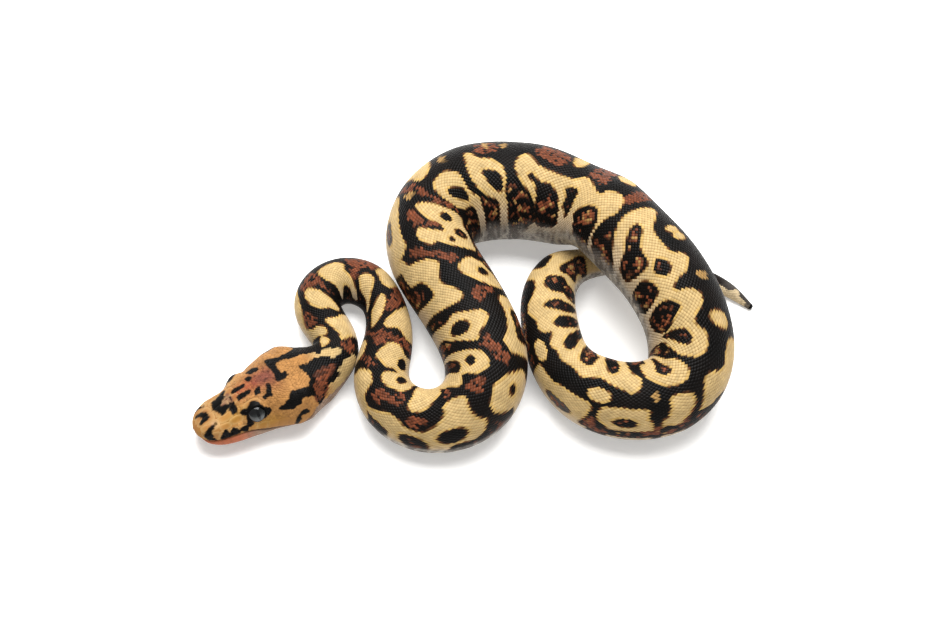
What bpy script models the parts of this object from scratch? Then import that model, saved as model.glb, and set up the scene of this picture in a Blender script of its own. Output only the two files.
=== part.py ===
"""A hatchling ball python lying coiled on the floor: one lofted body, parted into nodes by thin cuts."""
import bpy
import bmesh
import numpy as np
from math import cos, degrees, pi, radians, sin
from mathutils import Vector

MM = 0.001                      # the dimensions below are in millimetres

# Driving dimensions ---------------------------------------------------------------------------
PART_GAP = 0.3                  # slit between two lengths of the body
BELLY_FLAT = 0.93               # the belly is pressed flat at this share of its depth
ROUTE_EASE = 3.0                # spread of the smoothing along the route
ROUTE_STEP = 0.25               # sampling of the route before smoothing
BOX_CENTRE = (2.314, -0.574)    # middle of the plan of the coiled body, taken to the origin

# The line of the back on the floor, from the snout to the tip of the tail, as (x, y).
ROUTE = {
    "head": [(-60.7, -34.4), (-49.0, -27.4)],
    "nape": [(-37.0, -20.4), (-31.5, -17.4)],
    "neck_loop": [(-29.3, -12.6), (-32.2, -7.2), (-35.3, -1.0), (-32.6, 4.4),
                  (-26.8, 6.0), (-21.2, 2.8), (-18.4, -4.4)],
    "left_limb": [(-18.2, -12.0), (-19.9, -20.8), (-16.9, -28.6)],
    "front_bend": [(-10.0, -32.6), (-2.4, -31.6), (3.2, -25.8)],
    "cross_limb": [(4.0, -17.6), (1.1, -8.8), (-3.1, -0.6), (-7.2, 6.6)],
    "rear_bend": [(-9.4, 13.4), (-7.9, 20.0), (-3.0, 24.8), (3.8, 26.8)],
    "rear_arch": [(12.0, 27.0), (20.2, 24.4), (27.8, 20.2), (35.4, 11.2)],
    "right_limb": [(43.4, 0.4), (48.6, -9.8), (50.1, -17.8)],
    "right_bend": [(47.2, -24.8), (40.4, -28.2), (32.4, -27.8), (25.2, -23.8)],
    "inner_limb": [(20.5, -16.8), (18.5, -7.4), (18.4, 1.8), (22.4, 9.0), (29.8, 11.9)],
    "tail": [(39.0, 12.2), (48.4, 10.3), (57.6, 7.1), (65.8, 0.7)],
}

# Sections of the head: distance from the snout, half width, height above and depth below the axis.
HEAD_SECTIONS = [
    (0.0, 1.4, 0.8, 0.9), (0.6, 2.9, 1.5, 1.8), (1.6, 4.1, 2.1, 2.6), (3.0, 4.9, 2.7, 3.3),
    (5.0, 5.7, 3.3, 3.9), (8.0, 6.4, 4.2, 4.5), (11.0, 6.9, 5.1, 4.9), (13.5, 7.4, 5.6, 5.2),
    (16.0, 8.1, 5.9, 5.3), (19.0, 9.3, 5.9, 5.6), (22.0, 10.4, 5.8, 5.8), (24.5, 10.5, 5.7, 5.7),
    (27.0, 9.3, 5.6, 5.6), (29.5, 7.7, 5.6, 5.6), (32.0, 6.4, 5.5, 5.5),
]
HEAD_AXIS_HEIGHT = [(0.0, 4.9), (14.0, 5.3), (22.0, 5.5), (32.0, 5.1)]
HEAD_LENGTH = 28.5              # snout to the back of the jaw
HEIGHT_BLEND = (25.5, 33.5)     # between these the axis comes down to the resting body's height
ROUND_BLEND = (34.0, 22.0)      # between these the section turns from round to the muzzle's square
LEAN_BLEND = (40.0, 28.0)       # between these the section takes up the head's lean

# Round sections: distance from the snout, radius.
BODY_RADIUS = [
    (35.0, 5.5), (40.0, 5.1), (53.0, 5.5), (65.0, 5.4), (72.5, 4.9), (81.5, 5.5), (88.0, 6.0),
    (100.0, 6.6), (112.0, 7.3), (125.0, 9.0), (138.0, 9.7), (153.0, 10.0), (169.0, 10.2),
    (177.0, 10.9), (185.0, 11.6), (198.0, 11.4), (214.0, 10.0), (233.0, 9.9), (253.0, 9.8),
    (268.0, 9.0), (284.0, 8.4), (298.0, 6.9), (313.0, 6.3), (322.0, 5.4), (328.0, 3.9),
    (334.0, 3.1), (348.0, 2.5), (363.0, 1.8), (370.0, 0.8),
]
# The right limb rises over the root of the tail: distance from the snout, clearance of its belly.
BODY_LIFT = [
    (194.0, 0.0), (208.0, 2.2), (219.0, 7.0), (234.0, 7.8), (246.0, 6.2), (258.0, 2.0), (268.0, 0.0),
]
# Lean of the back to the animal's right, in degrees; only the head's flat section shows it.
HEAD_LEAN = 20.0

# Swells and hollows of the head about a line at an angle from the crown: distance, height.
TEMPLE_LINE = (54.0, 20.0)      # angle and spread
TEMPLE_SWELL = [
    (0.0, 0.0), (2.5, 0.35), (4.0, 0.4), (5.5, 0.3), (7.0, 0.0), (8.5, -0.45), (10.0, -0.8),
    (11.5, -0.7), (13.0, -0.4), (14.5, -0.35), (16.0, -0.6), (17.5, -0.25), (20.5, -0.1),
    (22.5, 0.1), (25.0, 0.45), (26.5, 0.4), (28.5, 0.0),
]
JAW_LINE = (122.0, 22.0)
JAW_SWELL = [
    (0.0, 0.1), (1.5, 0.5), (4.0, 0.7), (13.0, 0.75), (27.0, 0.8), (30.0, 0.8), (33.0, 0.2), (35.0, 0.0),
]

BROW_HEIGHT = 0.85              # ridge over each eye
BROW_PLACE = (13.0, 52.0)       # distance from the snout, angle from the crown
BROW_SPREAD = (2.8, 13.0)
CANTHUS_SQUARENESS = 2.5        # how square the section of the muzzle is; 2 is an ellipse
EYE_RADIUS = 2.4
EYE_PLACE = (13.1, 65.5)        # distance from the snout, angle from the crown
EYE_SINK = 1.8                  # depth of the eye's centre under the surface
EYE_FORWARD = 0.10              # the eyes look this much forwards for each unit outwards
MOUTH_DROP = 1.3                # the mouth line lies this far under the axis at the snout
MOUTH_RISE = 0.02               # and climbs towards the axis by this share of the distance
MOUTH_FRONT = 1.5               # the lower jaw starts this far behind the snout
JAW_END = 26.0
BLOCK_REACH = (14.0, 9.0)       # half width and depth of the block that parts the lower jaw

DIRECTION_REACH = 0.4           # the route's direction is read this far to either side
SNOUT_RINGS = [0.0, 0.3, 0.8, 1.5, 2.4]
SNOUT_END = 3.5                 # from here on the rings of the head are evenly spaced
TAIL_END = 0.2                  # the last ring stands this far from the end of the route
SHARP_EDGE = 50.0               # edges sharper than this many degrees stay crisp
HEAD_SIDES = 32
BODY_SIDES = 24
TAIL_SIDES = 12
EYE_SIDES = 20
SOCKET_SIDES = 24
HEAD_STEP = 1.35
NECK_STEP = 2.3
BODY_STEP = 3.3
TAIL_STEP = 2.4

NECK_CUTS = [HEAD_LENGTH, 41.0, 53.0, 65.0, 78.0]
TRUNK_CUTS = [NECK_CUTS[-1], 95.0, 108.0, 123.0, 143.0, 165.0, 178.0, 194.0, 213.0, 233.0,
              251.0, 264.0, 279.0, 295.0, 312.0, 328.0]


def clear_scene():
    """Remove every object that the file starts with."""
    for thing in list(bpy.data.objects):
        bpy.data.objects.remove(thing, do_unlink=True)


def make_material(name, colour, roughness):
    """A Principled material of one plain colour."""
    material = bpy.data.materials.new(name)
    material.use_nodes = True
    shader = material.node_tree.nodes["Principled BSDF"]
    shader.inputs["Base Color"].default_value = (*colour, 1.0)
    shader.inputs["Roughness"].default_value = roughness
    shader.inputs["Metallic"].default_value = 0.0
    material.diffuse_color = (*colour, 1.0)
    return material


def natural_spline(knots, values, places):
    """Natural cubic spline through the values at the knots, read at the places."""
    span = np.diff(knots)
    count = len(knots)
    matrix = np.eye(count)
    right = np.zeros_like(values)
    slope = np.diff(values, axis=0) / span[:, None]
    for row in range(1, count - 1):
        matrix[row, row - 1:row + 2] = span[row - 1], 2 * (span[row - 1] + span[row]), span[row]
        right[row] = 6 * (slope[row] - slope[row - 1])
    bend = np.linalg.solve(matrix, right)
    cell = np.clip(np.searchsorted(knots, places, side="right") - 1, 0, count - 2)
    width = span[cell][:, None]
    ahead = (places - knots[cell])[:, None]
    behind = width - ahead
    return ((bend[cell] * behind ** 3 + bend[cell + 1] * ahead ** 3) / (6 * width)
            + (values[cell] / width - bend[cell] * width / 6) * behind
            + (values[cell + 1] / width - bend[cell + 1] * width / 6) * ahead)


def ease(points, step):
    """Smooth a dense line with a bell-shaped weight, keeping its two ends."""
    reach = int(3 * ROUTE_EASE / step)
    weight = np.exp(-0.5 * (np.arange(-reach, reach + 1) * step / ROUTE_EASE) ** 2)
    weight /= weight.sum()
    before = 2 * points[0] - points[reach:0:-1]
    after = 2 * points[-1] - points[-2:-reach - 2:-1]
    padded = np.concatenate([before, points, after])
    return np.stack([np.convolve(padded[:, axis], weight, "valid") for axis in (0, 1)], axis=1)


def lay_route():
    """The smooth line of the back as (distances, points), both in millimetres."""
    stops = np.array([stop for stretch in ROUTE.values() for stop in stretch])
    knots = np.concatenate([[0.0], np.cumsum(np.linalg.norm(np.diff(stops, axis=0), axis=1))])
    places = np.linspace(0.0, knots[-1], int(knots[-1] / ROUTE_STEP) + 1)
    line = ease(natural_spline(knots, stops, places), places[1])
    distances = np.concatenate([[0.0], np.cumsum(np.linalg.norm(np.diff(line, axis=0), axis=1))])
    return distances, line - np.array(BOX_CENTRE)


def read_keys(keys, distance, column=1):
    """Monotone cubic through (distance, value) keys, so that no value overshoots its neighbours."""
    table = np.array(keys)
    knots, values = table[:, 0], table[:, column]
    span = np.diff(knots)
    slope = np.diff(values) / span
    tangent = np.zeros(len(knots))
    for knot in range(1, len(knots) - 1):
        if slope[knot - 1] * slope[knot] > 0:
            near, far = 2 * span[knot] + span[knot - 1], span[knot] + 2 * span[knot - 1]
            tangent[knot] = (near + far) / (near / slope[knot - 1] + far / slope[knot])
    tangent[0], tangent[-1] = slope[0], slope[-1]
    distance = min(max(distance, knots[0]), knots[-1])
    cell = min(max(int(np.searchsorted(knots, distance, side="right")) - 1, 0), len(span) - 1)
    part = (distance - knots[cell]) / span[cell]
    rise = span[cell] * part * (1 - part)
    return float(values[cell] * (1 + 2 * part) * (1 - part) ** 2 + tangent[cell] * rise * (1 - part)
                 + values[cell + 1] * (3 - 2 * part) * part ** 2 - tangent[cell + 1] * rise * part)


def blend(distance, limits):
    """Share from 0 at the first limit to 1 at the second one; the first may be the larger."""
    first, last = limits
    return min(max((distance - first) / (last - first), 0.0), 1.0)


def bump(value, centre, spread):
    """A smooth bump of height one about a centre."""
    return float(np.exp(-((value - centre) / spread) ** 2))


def section_sizes(distance):
    """Half width, height above and depth below the axis at a distance from the snout."""
    keys = HEAD_SECTIONS + [(place, radius, radius, radius) for place, radius in BODY_RADIUS]
    return [read_keys(keys, distance, column) for column in (1, 2, 3)]


def axis_height(distance):
    """Height of the axis over the floor, easing from the head's own to the resting body's."""
    depth = section_sizes(distance)[2]
    resting = BELLY_FLAT * depth + read_keys(BODY_LIFT, distance)
    share = blend(distance, HEIGHT_BLEND)
    share = share * share * (3 - 2 * share)
    return read_keys(HEAD_AXIS_HEIGHT, distance) * (1 - share) + resting * share


def head_swell(distance, turn):
    """Height added by the brows, temples and jaws at so many degrees from the crown."""
    brow = BROW_HEIGHT * bump(distance, BROW_PLACE[0], BROW_SPREAD[0])
    brow *= bump(turn, BROW_PLACE[1], BROW_SPREAD[1])
    temple = read_keys(TEMPLE_SWELL, distance) * bump(turn, *TEMPLE_LINE)
    jaw = read_keys(JAW_SWELL, distance) * bump(turn, *JAW_LINE)
    return brow + temple + jaw


class Body:
    """The whole animal as one surface: a point for each distance from the snout and angle."""

    def __init__(self):
        self.distances, self.line = lay_route()
        self.length = float(self.distances[-1])

    def place(self, distance):
        """Point of the axis, and the direction to the tail, in plan."""
        ends = []
        for place in (distance - DIRECTION_REACH, distance + DIRECTION_REACH):
            ends.append([np.interp(place, self.distances, self.line[:, axis]) for axis in (0, 1)])
        tangent = np.subtract(ends[1], ends[0])
        tangent /= np.linalg.norm(tangent)
        point = [np.interp(distance, self.distances, self.line[:, axis]) for axis in (0, 1)]
        return Vector((*point, axis_height(distance))), Vector((*tangent, 0.0))

    def lean(self, distance):
        """Lean of the section: the head's, fading out along the neck."""
        return radians(HEAD_LEAN) * blend(distance, LEAN_BLEND)

    def frame(self, distance):
        """Axis point, left and up directions of the leaning section, and the tail direction."""
        point, tangent = self.place(distance)
        left = Vector((tangent.y, -tangent.x, 0.0))
        up = Vector((0.0, 0.0, 1.0))
        lean = self.lean(distance)
        return point, left * cos(lean) + up * sin(lean), up * cos(lean) - left * sin(lean), tangent

    def outline(self, distance, angle):
        """Offsets to the left and up at an angle from the crown, positive to the animal's left."""
        width, top, bottom = section_sizes(distance)
        power = 2.0 + (CANTHUS_SQUARENESS - 2.0) * blend(distance, ROUND_BLEND)
        reach = (abs(cos(angle)) ** power + abs(sin(angle)) ** power) ** (-1.0 / power)
        swell = head_swell(distance, abs(degrees(angle)))
        height = top if cos(angle) > 0 else bottom
        sideways = (reach * width + swell) * sin(angle)
        upwards = (reach * height + swell) * cos(angle)
        return sideways, upwards

    def point(self, distance, angle):
        """A point of the surface, pressed flat where it meets the floor."""
        centre, left, up, _ = self.frame(distance)
        sideways, upwards = self.outline(distance, angle)
        spot = centre + left * sideways + up * upwards
        floor = read_keys(BODY_LIFT, distance)
        spot.z = max(spot.z, floor)
        return spot * MM

    def mouth_height(self, distance):
        """Height of the mouth line over the axis in the leaning section."""
        return -MOUTH_DROP + MOUTH_RISE * distance


def ring_places(start, end, step):
    """Evenly spaced distances from start to end, about one step apart."""
    count = max(2, int(round((end - start) / step)) + 1)
    return list(np.linspace(start, end, count))


def snout_places(end):
    """Distances along the head, closer together on the round of the snout."""
    return SNOUT_RINGS + ring_places(SNOUT_END, end, HEAD_STEP)


def loft(body, name, places, sides, material):
    """Skin the rings at the given distances and close both ends flat."""
    mesh_builder = bmesh.new()
    angles = [2 * pi * side / sides for side in range(sides)]
    signed = [angle if angle <= pi else angle - 2 * pi for angle in angles]
    rings = [[mesh_builder.verts.new(body.point(place, angle)) for angle in signed] for place in places]
    for first, second in zip(rings, rings[1:]):
        for side in range(sides):
            after = (side + 1) % sides
            mesh_builder.faces.new((first[side], first[after], second[after], second[side]))
    for ring in (rings[0], rings[-1]):
        mesh_builder.faces.new(ring)
    bmesh.ops.recalc_face_normals(mesh_builder, faces=mesh_builder.faces)
    return add_object(name, finish_mesh(mesh_builder, name), material)


def finish_mesh(mesh_builder, name):
    """Write the built faces to a named mesh."""
    mesh = bpy.data.meshes.new(name)
    mesh_builder.to_mesh(mesh)
    mesh_builder.free()
    return mesh


def add_object(name, mesh, material):
    """Link a mesh as a named, smooth-shaded object."""
    thing = bpy.data.objects.new(name, mesh)
    bpy.context.scene.collection.objects.link(thing)
    mesh.materials.append(material)
    mesh.shade_smooth()
    mesh.set_sharp_from_angle(angle=radians(SHARP_EDGE))
    return thing


def make_cutter(name, mesh):
    """A guide shape for Booleans, which doesn't render."""
    cutter = bpy.data.objects.new(name, mesh)
    bpy.context.scene.collection.objects.link(cutter)
    cutter.hide_render = True
    cutter.display_type = "WIRE"
    return cutter


def cut(thing, cutter, operation):
    """Add an exact Boolean that stays on the object."""
    modifier = thing.modifiers.new(cutter.name, "BOOLEAN")
    modifier.operation = operation
    modifier.solver = "EXACT"
    modifier.object = cutter


def jaw_block(body, name, slack):
    """Block under the mouth line, from behind the snout to the corner of the jaw."""
    mesh_builder = bmesh.new()
    width, depth = BLOCK_REACH
    for distance in (MOUTH_FRONT - slack, JAW_END + slack):
        centre, left, up, _ = body.frame(distance)
        roof = body.mouth_height(distance) + slack
        for side, height in ((-width, roof), (width, roof), (width, -depth), (-width, -depth)):
            mesh_builder.verts.new((centre + left * side + up * height) * MM)
    bmesh.ops.convex_hull(mesh_builder, input=mesh_builder.verts)
    bmesh.ops.recalc_face_normals(mesh_builder, faces=mesh_builder.faces)
    return make_cutter(name, finish_mesh(mesh_builder, name))


def eye_centre(body, side):
    """Centre of an eye, sunk under the surface; side is 1 on the left and -1 on the right."""
    distance, turn = EYE_PLACE
    angle = radians(turn) * side
    centre, left, up, tangent = body.frame(distance)
    spot = body.point(distance, angle)
    inward = (-(left * sin(angle) + up * cos(angle)) + tangent * EYE_FORWARD).normalized()
    return spot + inward * EYE_SINK * MM


def make_ball(name, centre, radius, segments):
    """A round ball mesh about a centre."""
    mesh_builder = bmesh.new()
    bmesh.ops.create_uvsphere(mesh_builder, u_segments=segments, v_segments=segments // 2, radius=radius)
    bmesh.ops.translate(mesh_builder, vec=centre, verts=mesh_builder.verts)
    return finish_mesh(mesh_builder, name)


def build_head(body, flesh, eye):
    """Head and lower jaw from one loft, with a socket and a ball for each eye."""
    places = snout_places(HEAD_LENGTH - PART_GAP / 2)
    head = loft(body, "head", places, HEAD_SIDES, flesh)
    jaw = loft(body, "lower_jaw", places, HEAD_SIDES, flesh)
    cut(head, jaw_block(body, "jaw_recess_guide", PART_GAP / 2), "DIFFERENCE")
    cut(jaw, jaw_block(body, "jaw_guide", -PART_GAP / 2), "INTERSECT")
    for side, name in ((1, "eye_left"), (-1, "eye_right")):
        centre = eye_centre(body, side)
        ball = make_ball(name, centre, EYE_RADIUS * MM, EYE_SIDES)
        add_object(name, ball, eye)
        socket = make_ball(name + "_socket", centre, (EYE_RADIUS + PART_GAP) * MM, SOCKET_SIDES)
        cut(head, make_cutter(name + "_socket_guide", socket), "DIFFERENCE")


def build_lengths(body, prefix, cuts, step, flesh):
    """A run of body lengths between neighbouring cuts, numbered from the head."""
    for number, (start, end) in enumerate(zip(cuts, cuts[1:]), 1):
        places = ring_places(start + PART_GAP / 2, end - PART_GAP / 2, step)
        loft(body, f"{prefix}_{number:02d}", places, BODY_SIDES, flesh)


def build_tail(body, flesh):
    """The tail, which tapers to a blunt tip."""
    start = TRUNK_CUTS[-1] + PART_GAP / 2
    loft(body, "tail", ring_places(start, body.length - TAIL_END, TAIL_STEP), TAIL_SIDES, flesh)


def main():
    """Build every node of the snake."""
    clear_scene()
    body = Body()
    head_flesh = make_material("python_head_skin", (0.48, 0.27, 0.10), 0.45)
    neck_flesh = make_material("python_neck_skin", (0.25, 0.13, 0.06), 0.45)
    trunk_flesh = make_material("python_trunk_skin", (0.36, 0.26, 0.13), 0.45)
    eye_gloss = make_material("python_eye", (0.03, 0.03, 0.035), 0.06)
    build_head(body, head_flesh, eye_gloss)
    build_lengths(body, "neck", NECK_CUTS, NECK_STEP, neck_flesh)
    build_lengths(body, "trunk", TRUNK_CUTS, BODY_STEP, trunk_flesh)
    build_tail(body, trunk_flesh)


main()
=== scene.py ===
"""Looks of a hatchling ball python that lies coiled on the floor.

The body's shape is one function of two numbers: the distance along the back from the snout, in
millimetres, and the angle round the section from the middle of the back, positive to the animal's
left. The skin, every scale and every marking are placed by those two numbers.
"""

import logging
from dataclasses import dataclass, field, fields
from enum import Enum
from math import cos, pi, radians, sin

import bmesh
import bpy
import numpy as np
from mathutils import Matrix, Vector


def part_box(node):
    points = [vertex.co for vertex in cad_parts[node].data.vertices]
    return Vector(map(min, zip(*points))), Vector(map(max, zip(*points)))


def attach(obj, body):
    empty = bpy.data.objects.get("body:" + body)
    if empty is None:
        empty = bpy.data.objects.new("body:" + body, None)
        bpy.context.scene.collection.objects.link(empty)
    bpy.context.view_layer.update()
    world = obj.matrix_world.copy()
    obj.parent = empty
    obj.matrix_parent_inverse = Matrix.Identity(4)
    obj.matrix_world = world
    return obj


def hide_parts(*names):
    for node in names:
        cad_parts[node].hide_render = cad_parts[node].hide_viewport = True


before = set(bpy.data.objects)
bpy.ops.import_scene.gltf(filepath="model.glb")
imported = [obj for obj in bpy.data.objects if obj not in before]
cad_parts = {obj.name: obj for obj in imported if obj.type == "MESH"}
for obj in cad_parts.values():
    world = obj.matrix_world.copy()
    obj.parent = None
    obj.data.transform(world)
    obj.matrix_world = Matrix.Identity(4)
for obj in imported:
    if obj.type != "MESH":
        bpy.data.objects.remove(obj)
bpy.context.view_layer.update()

MM = 0.001                      # the shapes below are worked out in millimetres
Array = np.ndarray
Mesh = bpy.types.Mesh
Finish = bpy.types.Material
Piece = bpy.types.Object
Tree = bpy.types.NodeTree
Node = bpy.types.Node
Key = tuple[float, ...]
Outline = list[tuple[float, float]]
LOG = logging.getLogger("python_looks")

# Shape of the body ----------------------------------------------------------------------------

# Nodes that the skin replaces; each eye has its own piece.
FLESH_NODES = (["head", "lower_jaw", "tail"] + [f"neck_{number:02d}" for number in range(1, 5)]
               + [f"trunk_{number:02d}" for number in range(1, 16)])

BELLY_FLAT = 0.93               # the belly is pressed flat at this share of its depth
ROUTE_EASE = 3.0                # spread of the smoothing along the route
ROUTE_STEP = 0.25               # sampling of the route before smoothing
BOX_CENTRE = (2.314, -0.574)    # middle of the plan of the coiled body, taken to the origin

# The line of the back on the floor, from the snout to the tip of the tail, as (x, y).
ROUTE = {
    "head": [(-60.7, -34.4), (-49.0, -27.4)],
    "nape": [(-37.0, -20.4), (-31.5, -17.4)],
    "neck_loop": [(-29.3, -12.6), (-32.2, -7.2), (-35.3, -1.0), (-32.6, 4.4),
                  (-26.8, 6.0), (-21.2, 2.8), (-18.4, -4.4)],
    "left_limb": [(-18.2, -12.0), (-19.9, -20.8), (-16.9, -28.6)],
    "front_bend": [(-10.0, -32.6), (-2.4, -31.6), (3.2, -25.8)],
    "cross_limb": [(4.0, -17.6), (1.1, -8.8), (-3.1, -0.6), (-7.2, 6.6)],
    "rear_bend": [(-9.4, 13.4), (-7.9, 20.0), (-3.0, 24.8), (3.8, 26.8)],
    "rear_arch": [(12.0, 27.0), (20.2, 24.4), (27.8, 20.2), (35.4, 11.2)],
    "right_limb": [(43.4, 0.4), (48.6, -9.8), (50.1, -17.8)],
    "right_bend": [(47.2, -24.8), (40.4, -28.2), (32.4, -27.8), (25.2, -23.8)],
    "inner_limb": [(20.5, -16.8), (18.5, -7.4), (18.4, 1.8), (22.4, 9.0), (29.8, 11.9)],
    "tail": [(39.0, 12.2), (48.4, 10.3), (57.6, 7.1), (65.8, 0.7)],
}

# Sections of the head: distance from the snout, half width, height above and depth below the axis.
HEAD_SECTIONS = [
    (0.0, 1.4, 0.8, 0.9), (0.6, 2.9, 1.5, 1.8), (1.6, 4.1, 2.1, 2.6), (3.0, 4.9, 2.7, 3.3),
    (5.0, 5.7, 3.3, 3.9), (8.0, 6.4, 4.2, 4.5), (11.0, 6.9, 5.1, 4.9), (13.5, 7.4, 5.6, 5.2),
    (16.0, 8.1, 5.9, 5.3), (19.0, 9.3, 5.9, 5.6), (22.0, 10.4, 5.8, 5.8), (24.5, 10.5, 5.7, 5.7),
    (27.0, 9.3, 5.6, 5.6), (29.5, 7.7, 5.6, 5.6), (32.0, 6.4, 5.5, 5.5),
]
HEAD_AXIS_HEIGHT = [(0.0, 4.9), (14.0, 5.3), (22.0, 5.5), (32.0, 5.1)]
HEAD_LENGTH = 28.5              # snout to the back of the jaw
NECK_START = 34.0               # from here on the body is round
HEAD_FADE = 12.0                # the head's forms run out over this length

# Round sections: distance from the snout, radius.
BODY_RADIUS = [
    (35.0, 5.5), (40.0, 5.1), (53.0, 5.5), (65.0, 5.4), (72.5, 4.9), (81.5, 5.5), (88.0, 6.0),
    (100.0, 6.6), (112.0, 7.3), (125.0, 9.0), (138.0, 9.7), (153.0, 10.0), (169.0, 10.2),
    (177.0, 10.9), (185.0, 11.6), (198.0, 11.4), (214.0, 10.0), (233.0, 9.9), (253.0, 9.8),
    (268.0, 9.0), (284.0, 8.4), (298.0, 6.9), (313.0, 6.3), (322.0, 5.4), (328.0, 3.9),
    (334.0, 3.1), (348.0, 2.5), (363.0, 1.8), (370.0, 0.8),
]
# The right limb rises over the root of the tail: distance from the snout, clearance of its belly.
BODY_LIFT = [
    (194.0, 0.0), (208.0, 2.2), (219.0, 7.0), (234.0, 7.8), (246.0, 6.2), (258.0, 2.0), (268.0, 0.0),
]
# Lean of the back to the animal's right, in degrees; only the head's flat section shows it.
HEAD_LEAN = 20.0

# Swells and hollows of the head about a line at an angle from the crown: distance, height.
TEMPLE_LINE = (54.0, 20.0)      # angle and spread
TEMPLE_SWELL = [
    (0.0, 0.0), (2.5, 0.35), (4.0, 0.4), (5.5, 0.3), (7.0, 0.0), (8.5, -0.45), (10.0, -0.8),
    (11.5, -0.7), (13.0, -0.4), (14.5, -0.35), (16.0, -0.6), (17.5, -0.25), (20.5, -0.1),
    (22.5, 0.1), (25.0, 0.45), (26.5, 0.4), (28.5, 0.0),
]
JAW_LINE = (122.0, 22.0)
JAW_SWELL = [
    (0.0, 0.1), (1.5, 0.5), (4.0, 0.7), (13.0, 0.75), (27.0, 0.8), (30.0, 0.8), (33.0, 0.2), (35.0, 0.0),
]

BROW_HEIGHT = 0.85              # ridge over each eye
BROW_PLACE = (13.0, 52.0)       # distance from the snout, angle from the crown
BROW_SPREAD = (2.8, 13.0)
CANTHUS_SQUARENESS = 2.5        # how square the section of the muzzle is; 2 is an ellipse
EYE_RADIUS = 2.4
EYE_PLACE = (13.1, 65.5)        # distance from the snout, angle from the crown

# Lean of the back to the animal's right, in degrees: it turns the markings with the rolling body.
BODY_LEAN = [
    (0, 20), (28, 20), (38, 14), (53, 25), (72, 22), (88, 0), (112, -25), (133, -5), (152, 5),
    (172, 22), (185, 27), (238, 25), (273, 25), (300, 20), (325, 0), (370, 0),
]
TIP_DEPTH = 1.4                 # the round of the snout and tail ends, as extra distance
COAT_DEPTH = 0.22               # the skin lies this far under the tops of the scales
FACE_SKIN_RISE = 0.13           # and on the face by this much less
SKIN_CLEARANCE = 0.06           # the skin stays this far over the floor
PLATE_UNDERSIDE = -COAT_DEPTH - 0.12     # height of the point under each scale
KEY_RADIUS = 11.4               # body radius at which the spacing of the scales is given
BELLY_EDGE = 147.0              # angle at which the broad belly plates begin
# Line between the lips: distance from the snout, angle from the crown.
MOUTH_LINE = [(0.0, 104), (4, 102), (7, 100), (10, 102), (12, 107), (14, 113), (16, 118), (18, 122),
              (20, 125), (22, 123), (24, 115), (26.5, 101)]
MOUTH_GROOVE = (0.42, 0.22)     # depth and half width of the line between the lips
CHIN_SETBACK = 0.30             # the chin lies this much behind the upper lip
EYE_RING = (0.16, 1.90, 0.35)   # height, radius and half width of the ring of scales round the eye
EYE_HOLLOW = (1.6, 1.1)         # radius and depth of the skin's hollow behind the eye
CHEEK_HOLLOW = 0.25             # dip between the snout and the eye

NOSTRIL = (4.1, 37.0)           # distance from the snout, angle from the crown
# Pits of the face: distance from the snout, angle, reach and depth; nostrils, then lip pits.
FACE_PITS = [
    (*NOSTRIL, 0.42, 0.55), (2.6, 90.0, 0.24, 0.28), (4.6, 88.0, 0.24, 0.28),
    (6.6, 87.0, 0.24, 0.26), (8.6, 88.0, 0.22, 0.22),
]

# Markings: closed outlines as (distance from the snout, degrees from the back) ----------------
FAR_OUTSIDE = -9.0              # depth given to places far from every marking
MIRROR_FROM = -38               # past this angle the head's right side takes the marks of its left
HEAD_COLOUR_END = 40            # no colour of the head reaches past this distance
TAIL_COLOUR_FADE = (334, 342)   # the tail's own colours set in over this stretch
TAIL_TIP_FADE = (368.6, 369.0)  # and its dark tip over this one
# Where the head's tan ground ends: degrees, distance.
HEAD_GROUND_EDGE = [
    (-180, 30), (-60, 28), (-14, 28.5), (-8, 31), (0, 33), (5, 36), (40, 36.2), (95, 37),
    (110, 36), (180, 34),
]
# Where the belly's pale ground begins: distance, degrees.
BELLY_GROUND_EDGE = [
    (0, 150), (30, 125), (60, 105), (90, 94), (99, 78), (108, 70), (122, 78), (134, 94),
    (170, 98), (184, 88), (215, 84), (262, 82), (275, 94), (308, 94), (317, 68), (331, 68),
    (340, 94), (370, 96),
]
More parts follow.
